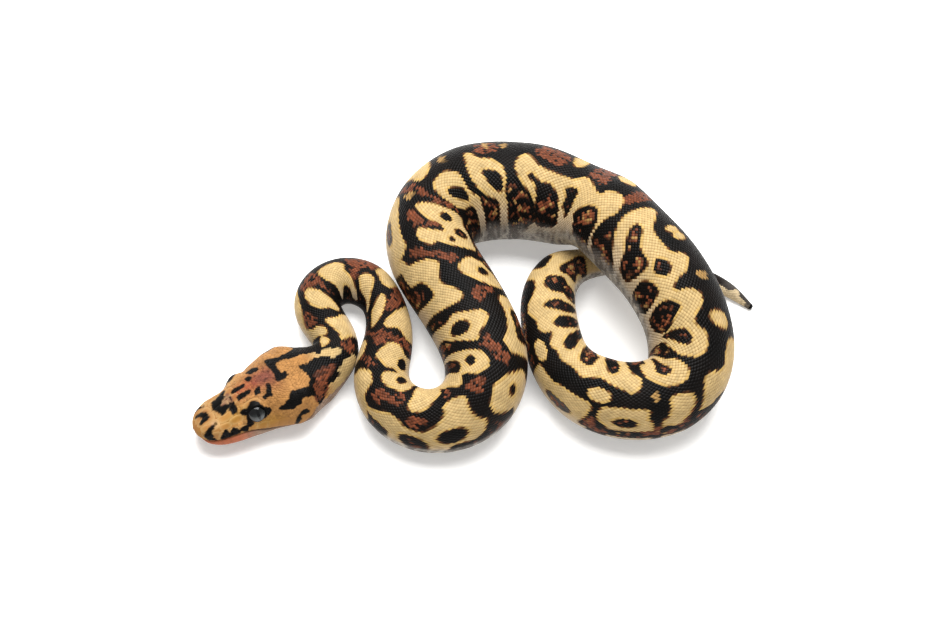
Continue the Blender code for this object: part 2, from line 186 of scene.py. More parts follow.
# Upper edge of the dark patches on the tail's right side: distance, degrees.
TAIL_DARK_EDGE = [
    (330, -90), (344, -60), (352, -25), (356.5, -10), (358.5, 6), (360.5, 20), (362.5, 32), (364, 32),
    (364.8, 10), (365.5, -25), (366.1, -30), (366.8, 5), (367.6, 24), (368.8, 22), (370, 34),
]
HEAD_DARK = [
    [(1.7, 15.5), (2.7, 15.5), (3.7, 15), (4.0, 4), (3.9, -8), (3.3, -18), (2.2, -27), (1.6, -26),
     (2.2, -14), (2.6, -5), (2.5, 0), (1.8, 5)],
    [(6.3, 25), (7.2, 26), (8.2, 22), (9.6, 16), (9.6, 0), (8.9, -12), (9.9, -20), (9.6, -27),
     (8.5, -24), (8, -20), (6.2, -22), (5.9, -12), (5.5, -2), (6, 10)],
    [(8.5, 37), (9.6, 38), (9.6, 26), (9.9, 18), (9.3, 20), (8.4, 26)],
    [(11.1, 19), (11.5, 21), (13.9, 21), (14.3, 18), (13.5, 15.5), (11.6, 14)],
    [(11.1, -2), (12, 1.5), (13.5, 1.5), (13.9, -2), (13, -4.5), (11.3, -6)],
    [(14.8, 29), (15.7, 29), (16.2, 22), (15.6, 21), (15, 25)],
    [(15, -6), (15.6, -3.5), (16.1, -7), (15.6, -11), (15, -9)],
    [(16, 42), (17.2, 42), (17.9, 36), (18.4, 24), (18.1, 23), (17.4, 30), (16.7, 38)],
    [(16.2, -20), (17.2, -15), (18.5, -15), (18.3, -20), (17.5, -24), (16.5, -23)],
    [(20.7, 22), (22.8, 20.5), (23, 15), (22, 13), (21.9, -5), (22.6, -9), (24, -12), (25.5, -9),
     (27.5, -10), (30, -7), (31.8, -3), (32.6, 8), (33.5, 3), (35, 12), (36, 20), (38, 10),
     (38, -30), (33, -40), (28.5, -60), (28, -30), (26.5, -22), (25, -17.5), (23, -18), (21.8, -21),
     (20.8, -18), (21, -5), (21, 10)],
]
HEAD_MAUVE = [[(7.1, 8), (8.2, 17), (9.8, 18), (10.3, 5), (10.0, -11), (8.8, -10), (7.2, -1)]]
# These repeat on the other side of the head.
HEAD_DARK_PAIRED = [
    [(1.1, 60), (1.2, 80), (1.6, 93), (2.9, 103), (2.6, 88), (2.4, 70), (2.8, 56), (3.8, 43),
     (3.9, 38), (3.1, 40), (1.8, 50)],
    [(4.0, 98), (4.8, 105), (6, 98), (6.1, 84), (5.4, 67), (4.7, 78), (4.2, 88)],
    [(6.1, 98), (7.5, 97), (8.3, 92), (8.1, 80), (7.3, 73), (6.6, 77), (6.1, 86)],
    [(8.4, 90), (9.4, 97), (10.2, 92), (10.2, 84), (9.2, 82), (8.4, 86)],
    [(10.3, 88), (11.5, 86), (11.7, 78), (11.4, 66), (10.9, 62), (10.5, 75)],
    [(13.8, 80), (15, 77), (15.8, 68), (15.3, 61), (13.9, 60)],
    [(10.2, 50), (10.2, 45.5), (11, 46.5), (11.8, 46), (12.6, 40), (13.4, 41), (14.4, 50),
     (14.4, 58), (12, 56), (11, 56)],
    [(18, 72), (19.5, 76), (20.5, 77), (21.5, 71), (22.6, 70), (23, 65), (24.5, 61), (26, 66),
     (27, 68), (27.5, 62), (27, 55), (25.5, 50), (24, 49), (22.5, 47), (21.5, 50), (20.8, 57),
     (19.5, 63), (18.2, 68)],
    [(27, 68), (27.5, 85), (27.3, 98), (28, 103), (28.6, 95), (29.2, 82), (30.5, 74), (31.8, 78),
     (32.8, 72), (33, 62), (34.5, 57), (36.5, 60), (37, 40), (35.6, 44), (34, 38), (33, 28), (32, 19),
     (30.8, 15), (29, 18), (27.5, 17), (26.6, 14), (26.9, 22), (27.5, 32), (27.6, 45), (26.5, 52)],
    [(20, 117), (20.8, 114), (21.6, 102), (22.4, 97), (23.8, 97), (23.7, 92), (22.2, 92),
     (21.2, 98), (20.3, 110)],
]
HEAD_RUST = [
    [(27.1, 80), (27.5, 97), (28.9, 92), (29.6, 82), (30.8, 71), (32.3, 63), (33.3, 54), (32.9, 42),
     (31.0, 35), (28.7, 34), (28.0, 40), (28.1, 48), (27.2, 55), (27.0, 68)],
]
LIGHT_FIELDS = [
    # neck
    [(34.5, -3), (36.5, 2), (38.5, -8), (40, -22), (39.5, -30), (37, -25), (35, -12)],
    [(40.3, -8), (42, -4), (43.6, -15), (44, -35), (45.7, -54), (47.5, -40), (48.8, -28),
     (50.3, -28), (52, -40), (53, -62), (53, -125), (41, -125), (42, -70), (41.5, -40), (40.6, -22)],
    [(38.3, 32), (39.5, 60), (39.8, 120), (43.5, 120), (43.8, 60), (43.3, 40), (43.8, 12),
     (41.5, 16), (39.5, 26)],
    [(45, 58), (47, 61), (49.5, 52), (51.3, 38), (52, 15), (51.8, -4), (50.8, -5), (48.5, 5),
     (47, 20), (46.3, 38)],
    [(55.6, 20), (55.9, 3), (57, -2), (59.5, 0), (60.8, 12), (61, 30), (62.5, 42), (64.5, 58),
     (66.5, 72), (68, 88), (66, 88), (64, 72), (61.5, 60), (59.8, 62), (58.5, 75), (57.3, 90),
     (56, 86), (56.8, 66), (56.2, 48), (55.5, 34)],
    [(65.5, 35), (66.7, 21), (68.5, 22), (69.7, 34), (71, 49), (73, 62), (74.8, 76), (73, 70),
     (70.5, 63), (67.5, 58), (66, 46)],
    [(67.5, -4), (68.8, 4), (70.8, 5), (71.6, -8), (71.2, -30), (70.8, -100), (67.2, -100),
     (67.2, -25)],
    [(73, 20), (75, 20), (77.3, 27), (79.5, 34), (82, 48), (80.5, 54), (78, 58), (75.8, 55),
     (74, 42), (73, 30)],
    [(78.6, 0), (80.3, 15), (81.8, 18), (82.7, 6), (82.3, -14), (83.5, -35), (84, -55),
     (83, -110), (79, -110), (75.8, -60), (76.2, -38), (77.2, -18)],
    [(87, -10), (88.5, 0), (90.2, 6), (91.4, 5), (92, -4), (94, -22), (94.5, -36), (95.5, -45),
     (97, -65), (99, -110), (87, -110), (88.5, -70), (88, -50), (86.7, -35), (86.7, -20)],
    [(86, 58), (87, 47), (88.7, 44), (90.5, 54), (91, 120), (85.5, 120), (85.7, 66)],
    [(93.3, 60), (93.4, 35), (94.5, 17), (96.5, 12), (97.5, 30), (98.2, 45), (99.8, 52),
     (99.5, 95), (93, 95)],
    # front
    [(99.5, 52), (101, 40), (103.5, 20), (105.5, 21), (107, 29), (110, 29), (112, 13),
     (113.5, -4), (113.5, -16), (115.8, -23), (118, -14), (117.7, 0), (118, 22), (119.2, 40),
     (118.7, 54), (118, 63), (116.5, 66), (115, 62), (113.5, 72), (112.6, 110), (110.6, 110),
     (110.9, 75), (110.6, 56), (109.6, 44), (108, 41), (106.6, 45), (106.2, 60), (107, 80),
     (107.5, 112), (105, 112), (104.6, 80), (104.8, 60), (103, 53), (101, 56)],
    [(120.8, 35), (121.3, 20), (123.2, 12), (125.5, 22), (127.3, 40), (128.2, 55), (128, 70),
     (126.5, 98), (123.5, 98), (123.8, 70), (122, 55)],
    [(130.2, 32), (130.7, 26), (132.2, 20), (134.5, 30), (138, 39), (142.3, 44), (142.2, 110),
     (139.5, 110), (139.8, 55), (136, 47), (132.8, 52), (133.8, 110), (131.3, 110), (130.8, 55)],
    [(145, 62), (145.3, 38), (147.5, 22), (149.5, 12), (151.5, 12), (153, 26), (153.2, 36),
     (151.5, 50), (148, 62), (146.5, 66)],
    [(155.6, 52), (156.3, 40), (158, 24), (160, 12), (159.8, 4), (162, -4), (163.6, -4),
     (164.3, 3), (162.8, 20), (162.4, 30), (164.5, 30), (165.8, 22), (168, 8), (169.3, 2),
     (170.3, 12), (170.4, 35), (170.5, 58), (169, 63), (165.5, 64), (162, 68), (158, 64), (156, 58)],
    [(95.5, -18), (97, -8), (100, -18), (102.5, -30), (103.7, -48), (103, -60), (103, -110),
     (99, -110), (95.5, -60), (96, -40)],
    [(106.2, -14), (107, -7), (108.5, -9), (110, -18), (112, -37), (113.5, -52), (113.5, -120),
     (104.5, -120), (105.2, -50), (106, -34)],
    [(113.5, -60), (116.5, -48), (118.5, -35), (120, -35), (121.5, -45), (121, -60), (118, -110),
     (113.5, -110)],
    [(122.5, -37), (123.3, -23), (125, -10), (126.5, -5), (128.7, -11), (129.8, -24),
     (130.2, -42), (131, -60), (132, -110), (121, -110), (120, -60), (120.5, -45)],
    [(132.5, -18), (134.5, -11), (136.5, 3), (138, 8), (139.5, 2), (140.3, -15), (141.5, -30),
     (140.7, -50), (142, -75), (143, -110), (139.5, -110), (138, -68), (135.5, -52), (133.5, -35)],
    [(143.8, -15), (145.3, -7), (147.5, -12), (150.5, -21), (153, -12), (155, -6), (157, -14),
     (158, -28), (158.8, -40), (160.8, -46), (160, -58), (155.5, -60), (154, -42), (151, -36),
     (148.5, -40), (148.8, -60), (151, -110), (147.5, -110), (145.5, -60), (144.2, -35)],
    [(161, -48), (162.3, -28), (164.5, -26), (170.3, -29), (172, -45), (170.5, -62), (166, -100),
     (162, -100), (159.5, -60)],
    [(174.8, -6), (176.8, -6), (178.3, -30), (178, -100), (175, -100), (174.8, -25)],
    # arch
    [(173, 45), (173.2, 30), (174.5, 16), (176.3, 13), (178.5, 16), (180.2, 27), (180.5, 45),
     (181.5, 55), (183.5, 65), (184.3, 125), (180.5, 125), (180.8, 72), (178, 62), (175, 60),
     (173.5, 54)],
    [(182.8, 38), (183, 20), (183.8, 5), (186, 18), (188.5, 22), (190.8, 30), (191.8, 42),
     (191.6, 58), (192.5, 75), (193, 125), (190.2, 125), (190, 80), (189.5, 66), (186.5, 60),
     (184, 50)],
    [(194.3, 32), (194.6, 20), (196.3, 12), (198.3, 20), (200, 27), (203.5, 28), (208.5, 27),
     (210.2, 19), (211.8, 20), (214, 28), (216.5, 34), (217.8, 31), (218, 25), (221, 17),
     (223, 24), (223.9, 38), (223.3, 50), (222.8, 62), (223.2, 80), (225.5, 125), (198, 125),
     (202.3, 88), (202.3, 74), (201, 62), (199, 55), (196, 44)],
    [(226, 34), (226.2, 18), (227, 0), (228.5, -8), (230, 2), (231.8, 15), (234, 21), (237.5, 22),
     (239.6, 18), (240.8, 6), (242, 3), (244.3, 13), (245.2, 25), (246.6, 37), (248, 36),
     (248.6, 22), (250, 9), (252.4, 12), (253.8, 21), (255.8, 23), (257.5, 10), (260, 5),
     (262, 13), (263, 28), (263.2, 37), (261.8, 52), (260, 66), (262, 125), (233, 125),
     (232.3, 90), (229.5, 68), (227, 50)],
    [(264.8, 28), (265, 13), (266.3, 5), (269, 8), (271, 15), (273.2, 27), (274.4, 44),
     (274.2, 56), (272.5, 60), (271.5, 125), (264.5, 125), (267.2, 80), (266.8, 50), (265.2, 38)],
    [(275, 27), (275.3, 13), (276.8, 5), (278.5, 10), (280.5, 13), (283.5, 20), (285.8, 13),
     (287.5, 8), (290.5, 12), (293.5, 7), (296, 9), (298, 3), (300.3, 13), (301, 8), (301.6, -4),
     (302.4, -11), (305, -16), (307, -30), (308.2, -37), (310, -35), (311, -27), (313, -21),
     (315, -28), (315.8, -45), (316.8, -100), (318.6, -100), (318.3, -28), (320, -22),
     (321.8, -28), (322.5, -38), (324, -100), (330, -100), (334, 0), (334, 100), (330, 120),
     (276, 120), (279.6, 78), (278.2, 50), (277, 37)],
    [(256.5, -40), (258.5, -28), (261, -32), (263, -14), (264.3, -18), (265.5, -40), (266.3, -62),
     (265, -110), (255, -110)],
    [(266.8, -18), (268, -9), (269.8, -9), (270.3, -25), (270.8, -38), (271.8, -50), (271.3, -110),
     (269, -110), (268, -50), (267, -35)],
    [(273.8, -22), (275.3, -19), (278.5, -19), (281, -23), (281.8, -37), (281.3, -52),
     (280, -63), (279.5, -110), (274, -110), (273.3, -50), (274, -36)],
    [(283.3, -33), (284.3, -25), (289.5, -27), (291, -33), (295.2, -35), (295.7, -52),
     (295, -110), (284.5, -110), (283.7, -48)],
]
# Oval spots: distance, angle, half length, half angle.
LIGHT_SPOTS = [(207.2, -13, 1.3, 17), (217.5, -18, 1.9, 13), (234.3, -8, .9, 10), (236.3, -10, 1.0, 11),
    (254.3, -13, 1.3, 15), (282.5, -7, 2.0, 11), (298, -21, 2.3, 13)]
TAN_SPOTS = [(246, -6, .9, 9), (272.6, -2, .7, 7), (188, -6, .6, 8), (171.8, -14, .7, 9), (179.8, -8, .6, 9),
    (191.5, -4, .8, 6)]
DARK_FIELDS = [
    [(112, 50), (113.5, 60), (115.5, 55), (116.5, 40), (115.5, 26), (113, 26), (111.8, 38)],
    [(121.6, -50), (123.5, -45), (125.6, -48), (127.6, -58), (129.6, -75), (130, -92), (121, -92),
     (120.9, -68)],
    [(175, 34), (176, 32), (178, 38), (179.8, 46), (179.6, 57), (177.8, 57), (175.5, 48), (174.8, 40)],
    [(185.8, 36), (187, 33), (189.5, 36), (191.2, 46), (190.8, 58), (188.8, 56), (187, 48)],
    # left flank of the arch
    [(197.6, 38), (199, 36), (201, 42), (204, 42), (206.5, 50), (208, 60), (209.5, 80), (208, 88),
     (203.5, 90), (201.8, 75), (201.4, 60), (200, 48), (198, 42)],
    [(207.6, 42), (208.6, 37), (211, 38), (211.8, 50), (212.3, 66), (211.6, 75), (210.2, 66),
     (208.8, 60), (208.8, 50)],
    [(214, 66), (215.8, 56), (218.8, 49), (221, 52), (222.4, 64), (222.9, 84), (223.4, 105),
     (219.5, 108), (217, 92), (215.5, 78)],
    [(229.3, 40), (229.3, 28), (231.5, 29), (233.8, 42), (236, 47), (238, 47), (239.6, 56), (238.6, 78),
     (236.3, 88), (233.5, 80), (232.3, 64), (230.5, 52)],
    [(239, 40), (240.2, 31), (242.5, 28), (244, 38), (242.5, 48), (240.5, 49)],
    [(240.4, 72), (241.5, 62), (243.5, 56), (246, 55), (247.5, 68), (247.6, 86), (245, 95), (241, 95)],
    [(248.5, 55), (249.8, 44), (251.6, 37), (253, 44), (255.5, 52), (257, 60), (254.5, 76), (250.5, 84),
     (248.7, 72)],
    [(256.5, 48), (256.8, 34), (259, 25), (260.6, 30), (260.5, 42), (259.3, 54), (258.3, 66), (257, 60)],
    [(267.2, 30), (268.2, 24), (270, 26), (271, 36), (270.2, 50), (270, 66), (268.6, 66), (268.4, 48)],
    [(280.3, 38), (281, 31), (282.5, 31), (284, 40), (285.3, 52), (288, 80), (284.5, 80), (281, 55)],
    [(287.3, 45), (287.3, 30), (289.5, 27), (291.5, 32), (292.5, 42), (294.5, 58), (297, 84),
     (293, 80), (289.5, 62), (287.7, 55)],
    [(294.5, 30), (296, 23), (297.8, 28), (299.5, 42), (301, 60), (303, 84), (299.5, 78), (297.5, 58),
     (295.3, 45)],
    [(301.5, 42), (302, 24), (303.5, 18), (305, 32), (305.3, 48), (305.5, 80), (302.5, 70)],
    [(306.3, 46), (307, 20), (308, 0), (309.3, 8), (310, 30), (309.6, 50), (309, 80), (307, 70)],
    [(310.5, 58), (312, 40), (312, 20), (313, 4), (314.5, -6), (316.3, -3), (317.3, 15), (317.8, 32),
     (316.3, 48), (315, 80), (311, 80)],
    [(319.2, 58), (319.6, 40), (319, 20), (320.5, 7), (323, 10), (325, 6), (327, -3), (328.5, 5),
     (328.2, 50), (327.5, 78), (325.5, 76), (325, 60), (322.5, 56), (321, 64), (320, 68)],
    # right flank of the rear bend
    [(272, -57), (273.5, -62), (280.5, -64), (281.8, -55), (283, -48), (284, -60), (284, -88), (272, -88)],
    [(262.5, -66), (265.2, -60), (267, -48), (268.4, -50), (269.5, -60), (271.8, -56), (272, -88),
     (262.5, -88)],
]
DARK_SPOTS = [(92, -55, 2.4, 14), (124.9, 45, .9, 8), (149.2, 41, 1.3, 9),
    (161.3, 52, 2.0, 10), (159.4, 32, 1.0, 4.5), (167.3, 40, 1.7, 8), (99.2, -46, 1.7, 12),
    (126.7, -32, 1.7, 8), (137.3, -34, 2.1, 16), (277.5, -45, 2.0, 10)]
SMOKE_SPOTS = [(166.6, -53, 2.0, 10), (289, -65, 2.8, 13)]
RUST_FIELDS = [
    [(44.7, -2), (46, -4), (47.6, -18), (47.4, -32), (46.3, -48), (45, -30), (44.3, -15)],
    [(51.5, 60), (53, 50), (54.5, 30), (55.3, 5), (55.3, -20), (52.2, -20), (52.5, 5), (53.2, 25), (52, 45)],
    [(62.5, 45), (64.5, 38), (65, 20), (66.5, 5), (66.8, -20), (66, -38), (62.5, -15), (61.3, -5),
     (61.8, 15), (62, 30)],
    [(76.5, 24), (78.3, 22), (77.5, 5), (76.3, -15), (75, -35), (74.2, -58), (72, -50), (72, -20),
     (73.5, 0), (75, 15)],
    [(84, 52), (85.5, 42), (87, 25), (88, 10), (86.5, -5), (85.3, -20), (84, 0), (83, 15), (84, 35)],
    [(84.5, -18), (86, -20), (86.5, -60), (85, -60)],
    [(90.5, 45), (91.8, 35), (94, 4), (93, 2), (91, 25)],
    [(36.5, 70), (38.4, 68), (38.4, 40), (37.2, 34), (36.4, 45)],
    [(98.5, 22), (100.5, 24), (101.5, 8), (104, 0), (105, -5), (104.5, -18), (103, -24), (101.5, -8),
     (99, 0), (98.3, 12)],
    [(107, 18), (109.5, 20), (110, 4), (107.5, 4)],
    [(114.5, -32), (116, -30), (116.5, -42), (115, -42)],
    [(120.5, 2), (122, -2), (123.7, -5), (122.5, -18), (121, -27), (119.6, -25), (119.7, -10)],
    [(127.7, 20), (129.2, 28), (130.5, 15), (132, 0), (134, 0), (133, -6), (131, -15), (129.5, -5),
     (128.3, 5)],
    [(142, 20), (143.5, 28), (144, 42), (145.2, 25), (145, 10), (143, 3), (141.8, 8)],
    [(153.5, 16), (155, 20), (156.5, 8), (158, 0), (159.5, -10), (161.5, -25), (160, -30),
     (158.5, -18), (157, -5), (155, 3), (153.5, 8)],
    [(164.3, 22), (165.3, 22), (167, 5), (168.7, 0), (168.2, -12), (166.2, -10), (165.3, 3)],
    [(171.5, 55), (172.5, 50), (172.3, 25), (173, 5), (174, -10), (173.3, -35), (172, -20), (172, 0),
     (171.3, 25)],
    [(185.5, 9), (189.8, 10), (190, -10), (186, -12)],
    [(198.5, 12), (204.8, 13), (204.5, -12), (199, -12)],
    [(211, 10), (214.5, 20), (216, 12), (214, -20), (211.5, -20)],
    [(221.5, 10), (223, 22), (224.7, 8), (224, -28), (222, -28)],
    [(267.5, -38), (269, -40), (269.3, -60), (268, -60)],
    [(272.4, -56), (274.2, -56), (274.6, -75), (272.4, -75)],
    [(282, -52), (284, -52), (284, -70), (282, -70)],
    [(320.5, 38), (324, 39), (327.5, 37), (327, 31), (321, 30)],
    [(325, 60), (326.8, 60), (327, 40), (325.4, 38)],
]


def read_keys(keys: list[Key], places: Array, column: int = 1) -> Array:
    """Read a monotone cubic through keys, so that no value overshoots its neighbours.

    Args:
        keys: rows of a distance and one or more values.
        places: distances to read at.
        column: which value of the rows is read.

    Returns:
        The value at each place.
    """
    table = np.array(keys, float)
    knots, values = table[:, 0], table[:, column]
    span = np.diff(knots)
    slope = np.diff(values) / span
    tangent = np.zeros(len(knots))
    before, after = slope[:-1], slope[1:]
    near, far = 2 * span[1:] + span[:-1], span[1:] + 2 * span[:-1]
    rising = before * after > 0
    safe_before, safe_after = np.where(rising, before, 1.0), np.where(rising, after, 1.0)
    tangent[1:-1] = np.where(rising, (near + far) / (near / safe_before + far / safe_after), 0.0)
    tangent[0], tangent[-1] = slope[0], slope[-1]
    places = np.clip(places, knots[0], knots[-1])
    cell = np.clip(np.searchsorted(knots, places, side="right") - 1, 0, len(span) - 1)
    part = (places - knots[cell]) / span[cell]
    rise = span[cell] * part * (1 - part)
    return (values[cell] * (1 + 2 * part) * (1 - part) ** 2 + tangent[cell] * rise * (1 - part)
            + values[cell + 1] * (3 - 2 * part) * part ** 2 - tangent[cell + 1] * rise * part)


def natural_spline(knots: Array, values: Array, places: Array) -> Array:
    """Natural cubic spline through the values at the knots.

    Args:
        knots: rising distances of the given points.
        values: the points, one row each.
        places: distances to read at.

    Returns:
        One row for each place.
    """
    span = np.diff(knots)
    count = len(knots)
    matrix = np.eye(count)
    right = np.zeros_like(values)
    slope = np.diff(values, axis=0) / span[:, None]
    for row in range(1, count - 1):
        matrix[row, row - 1:row + 2] = span[row - 1], 2 * (span[row - 1] + span[row]), span[row]
        right[row] = 6 * (slope[row] - slope[row - 1])
    bend = np.linalg.solve(matrix, right)
    cell = np.clip(np.searchsorted(knots, places, side="right") - 1, 0, count - 2)
    width = span[cell][:, None]
    ahead = (places - knots[cell])[:, None]
    behind = width - ahead
    return ((bend[cell] * behind ** 3 + bend[cell + 1] * ahead ** 3) / (6 * width)
            + (values[cell] / width - bend[cell] * width / 6) * behind
            + (values[cell + 1] / width - bend[cell + 1] * width / 6) * ahead)


def ease(points: Array, step: float) -> Array:
    """Smooth a dense line with a bell-shaped weight.

    Args:
        points: the line, one row for each step.
        step: distance between neighbouring rows.

    Returns:
        The smoothed line, with its two ends kept.
    """
    reach = int(3 * ROUTE_EASE / step)
    weight = np.exp(-0.5 * (np.arange(-reach, reach + 1) * step / ROUTE_EASE) ** 2)
    weight /= weight.sum()
    before = 2 * points[0] - points[reach:0:-1]
    after = 2 * points[-1] - points[-2:-reach - 2:-1]
    padded = np.concatenate([before, points, after])
    return np.stack([np.convolve(padded[:, axis], weight, "valid") for axis in (0, 1)], axis=1)


def bell(value: Array, centre: float, spread: float) -> Array:
    """A smooth bump of height one about a centre."""
    return np.exp(-((value - centre) / spread) ** 2)


def smooth_step(value: Array, low: float, high: float) -> Array:
    """Share from 0 at low to 1 at high, with soft ends; low may be above high."""
    share = np.clip((value - low) / (high - low), 0.0, 1.0)
    return share * share * (3 - 2 * share)


@dataclass
class BodyShape:
    """The whole animal as one surface over distance from the snout and angle from the back."""

    step: float = 0.1
    slope_step: float = 0.25
    places: Array = field(init=False)
    length: float = field(init=False)
    table: dict[str, Array] = field(init=False)

    def __post_init__(self) -> None:
        """Lay the route and read every size along it once."""
        stops = np.array([stop for stretch in ROUTE.values() for stop in stretch])
        gaps = np.linalg.norm(np.diff(stops, axis=0), axis=1)
        knots = np.concatenate([[0.0], np.cumsum(gaps)])
        places = np.linspace(0.0, knots[-1], int(knots[-1] / ROUTE_STEP) + 1)
        line = ease(natural_spline(knots, stops, places), places[1])
        walked = np.concatenate([[0.0], np.cumsum(np.linalg.norm(np.diff(line, axis=0), axis=1))])
        line = line - np.array(BOX_CENTRE)
        self.length = float(walked[-1])
        self.places = np.arange(0.0, self.length + self.step, self.step)
        ends = [np.stack([np.interp(np.clip(self.places + shift, 0, self.length), walked, line[:, axis])
                          for axis in (0, 1)], axis=-1) for shift in (-0.4, 0.4)]
        tangent = ends[1] - ends[0]
        tangent /= np.linalg.norm(tangent, axis=1, keepdims=True)
        keys = HEAD_SECTIONS + [(place, radius, radius, radius) for place, radius in BODY_RADIUS]
        lift = read_keys(BODY_LIFT, self.places)
        bottom = read_keys(keys, self.places, 3)
        share = smooth_step(self.places, HEAD_LENGTH - 3.0, HEAD_LENGTH + 5.0)
        height = read_keys(HEAD_AXIS_HEIGHT, self.places) * (1 - share)
        self.table = {
            "x": np.interp(self.places, walked, line[:, 0]),
            "y": np.interp(self.places, walked, line[:, 1]),
            "tail_x": tangent[:, 0], "tail_y": tangent[:, 1],
            "width": read_keys(keys, self.places, 1), "top": read_keys(keys, self.places, 2),
            "bottom": bottom, "lift": lift, "z": height + (BELLY_FLAT * bottom + lift) * share,
            "lean": np.radians(read_keys(BODY_LEAN, self.places)),
            "temple": read_keys(TEMPLE_SWELL, self.places), "jaw": read_keys(JAW_SWELL, self.places),
        }

    def at(self, name: str, distance: Array) -> Array:
        """Read one of the sizes at distances from the snout."""
        return np.interp(distance, self.places, self.table[name])

    def radius(self, distance: Array) -> Array:
        """Mean radius of the section, for turning angles into lengths."""
        return (self.at("width", distance) + self.at("top", distance)) / 2

    def point(self, distance: Array, angle: Array) -> Array:
        """Points of the surface, pressed flat where it meets the floor.

        Args:
            distance: millimetres from the snout; under 0 and past the length it closes each end.
            angle: radians from the middle of the back, positive to the animal's left.

        Returns:
            Positions in millimetres, with the last axis x, y, z.
        """
        distance, angle = np.broadcast_arrays(np.asarray(distance, float), np.asarray(angle, float))
        closing = np.clip(1 + np.minimum(distance, 0) / TIP_DEPTH, 0, 1)
        closing = closing * np.clip(1 - np.maximum(distance - self.length, 0) / TIP_DEPTH, 0, 1)
        along = np.clip(distance, 0, self.length)
        width, top, bottom = (self.at(name, along) for name in ("width", "top", "bottom"))
        muzzle = np.clip((NECK_START - along) / HEAD_FADE, 0, 1)
        power = 2 + (CANTHUS_SQUARENESS - 2) * muzzle
        over, across = np.cos(angle), np.sin(angle)
        reach = (np.abs(over) ** power + np.abs(across) ** power) ** (-1 / power)
        turn = np.abs(np.degrees(angle))
        swell = BROW_HEIGHT * bell(along, BROW_PLACE[0], BROW_SPREAD[0])
        swell = swell * bell(turn, BROW_PLACE[1], BROW_SPREAD[1])
        swell = swell + self.at("temple", along) * bell(turn, *TEMPLE_LINE)
        swell = swell + self.at("jaw", along) * bell(turn, *JAW_LINE)
        side = (reach * width + swell) * across * closing
        rise = (reach * np.where(over > 0, top, bottom) + swell) * over * closing
        rigid = np.clip((NECK_START + HEAD_FADE / 2 - along) / HEAD_FADE, 0, 1)
        lean = self.at("lean", along) * (rigid + (1 - rigid) * np.cos(angle / 2) ** 2)
        left = side * np.cos(lean) - rise * np.sin(lean)
        up = side * np.sin(lean) + rise * np.cos(lean)
        spot_x = self.at("x", along) + self.at("tail_y", along) * left
        spot_y = self.at("y", along) - self.at("tail_x", along) * left
        spot_z = np.maximum(self.at("z", along) + up, self.at("lift", along))
        return np.stack([spot_x, spot_y, spot_z], axis=-1)

    def normal(self, distance: Array, angle: Array) -> Array:
        """Unit directions out of the surface, by differences along and round the body.

        Args:
            distance: millimetres from the snout.
            angle: radians from the middle of the back.

        Returns:
            One unit vector for each place.
        """
        turn = self.slope_step / np.maximum(self.radius(distance), 1.0)
        along = self.point(distance + self.slope_step, angle) - self.point(distance - self.slope_step, angle)
        round_it = self.point(distance, angle + turn) - self.point(distance, angle - turn)
        out = np.cross(round_it, along)
        return out / (np.linalg.norm(out, axis=-1, keepdims=True) + 1e-9)

    def relief(self, distance: Array, angle: Array) -> Array:
        """Relief of the face: mouth line, pits, the hollow behind each eye and the ring round it.

        Args:
            distance: millimetres from the snout.
            angle: radians from the middle of the back.

        Returns:
            Offset along the normal for each place.
        """
        degrees = np.abs(np.degrees(angle))
        arc = np.radians(1.0) * self.radius(np.clip(distance, 1.0, None))
        lips = (degrees - read_keys(MOUTH_LINE, distance)) * arc
        window = smooth_step(distance, -0.9, 0.2) * smooth_step(distance, 26.5, 24.0)
        depth = MOUTH_GROOVE[0] * np.exp(-(lips / MOUTH_GROOVE[1]) ** 2) * window
        depth = depth + CHIN_SETBACK * smooth_step(lips, 0.0, 0.3) * smooth_step(distance, 6.0, 0.0) * window
        for place, turn, reach, deep in FACE_PITS:
            off = ((distance - place) ** 2 + ((degrees - turn) * arc) ** 2) / reach ** 2
            depth = depth + deep * np.exp(-off)
        eye_off = np.sqrt((distance - EYE_PLACE[0]) ** 2 + ((degrees - EYE_PLACE[1]) * arc) ** 2)
        depth = depth - EYE_RING[0] * bell(eye_off, *EYE_RING[1:])
        depth = np.where(eye_off < EYE_HOLLOW[0], EYE_HOLLOW[1], depth)
        cheek = bell(degrees, 60.0, 9.0) * smooth_step(distance, 4.5, 6.5) * smooth_step(distance, 11.0, 8.5)
        return -(depth + CHEEK_HOLLOW * cheek) * (distance < NECK_START)

    def surface(self, distance: Array, angle: Array, height: Array | float) -> Array:
        """Points at a height over the sculpted surface, kept above the floor or the lift.

        Args:
            distance: millimetres from the snout.
            angle: radians from the middle of the back.
            height: millimetres over the surface, or under it where negative.

        Returns:
            Positions in millimetres, with the last axis x, y, z.
        """
        height = height + self.relief(distance, angle)
        spot = self.point(distance, angle) + self.normal(distance, angle) * np.asarray(height)[..., None]
        floor = self.at("lift", np.clip(distance, 0, self.length))
        spot[..., 2] = np.maximum(spot[..., 2], floor)
        return spot


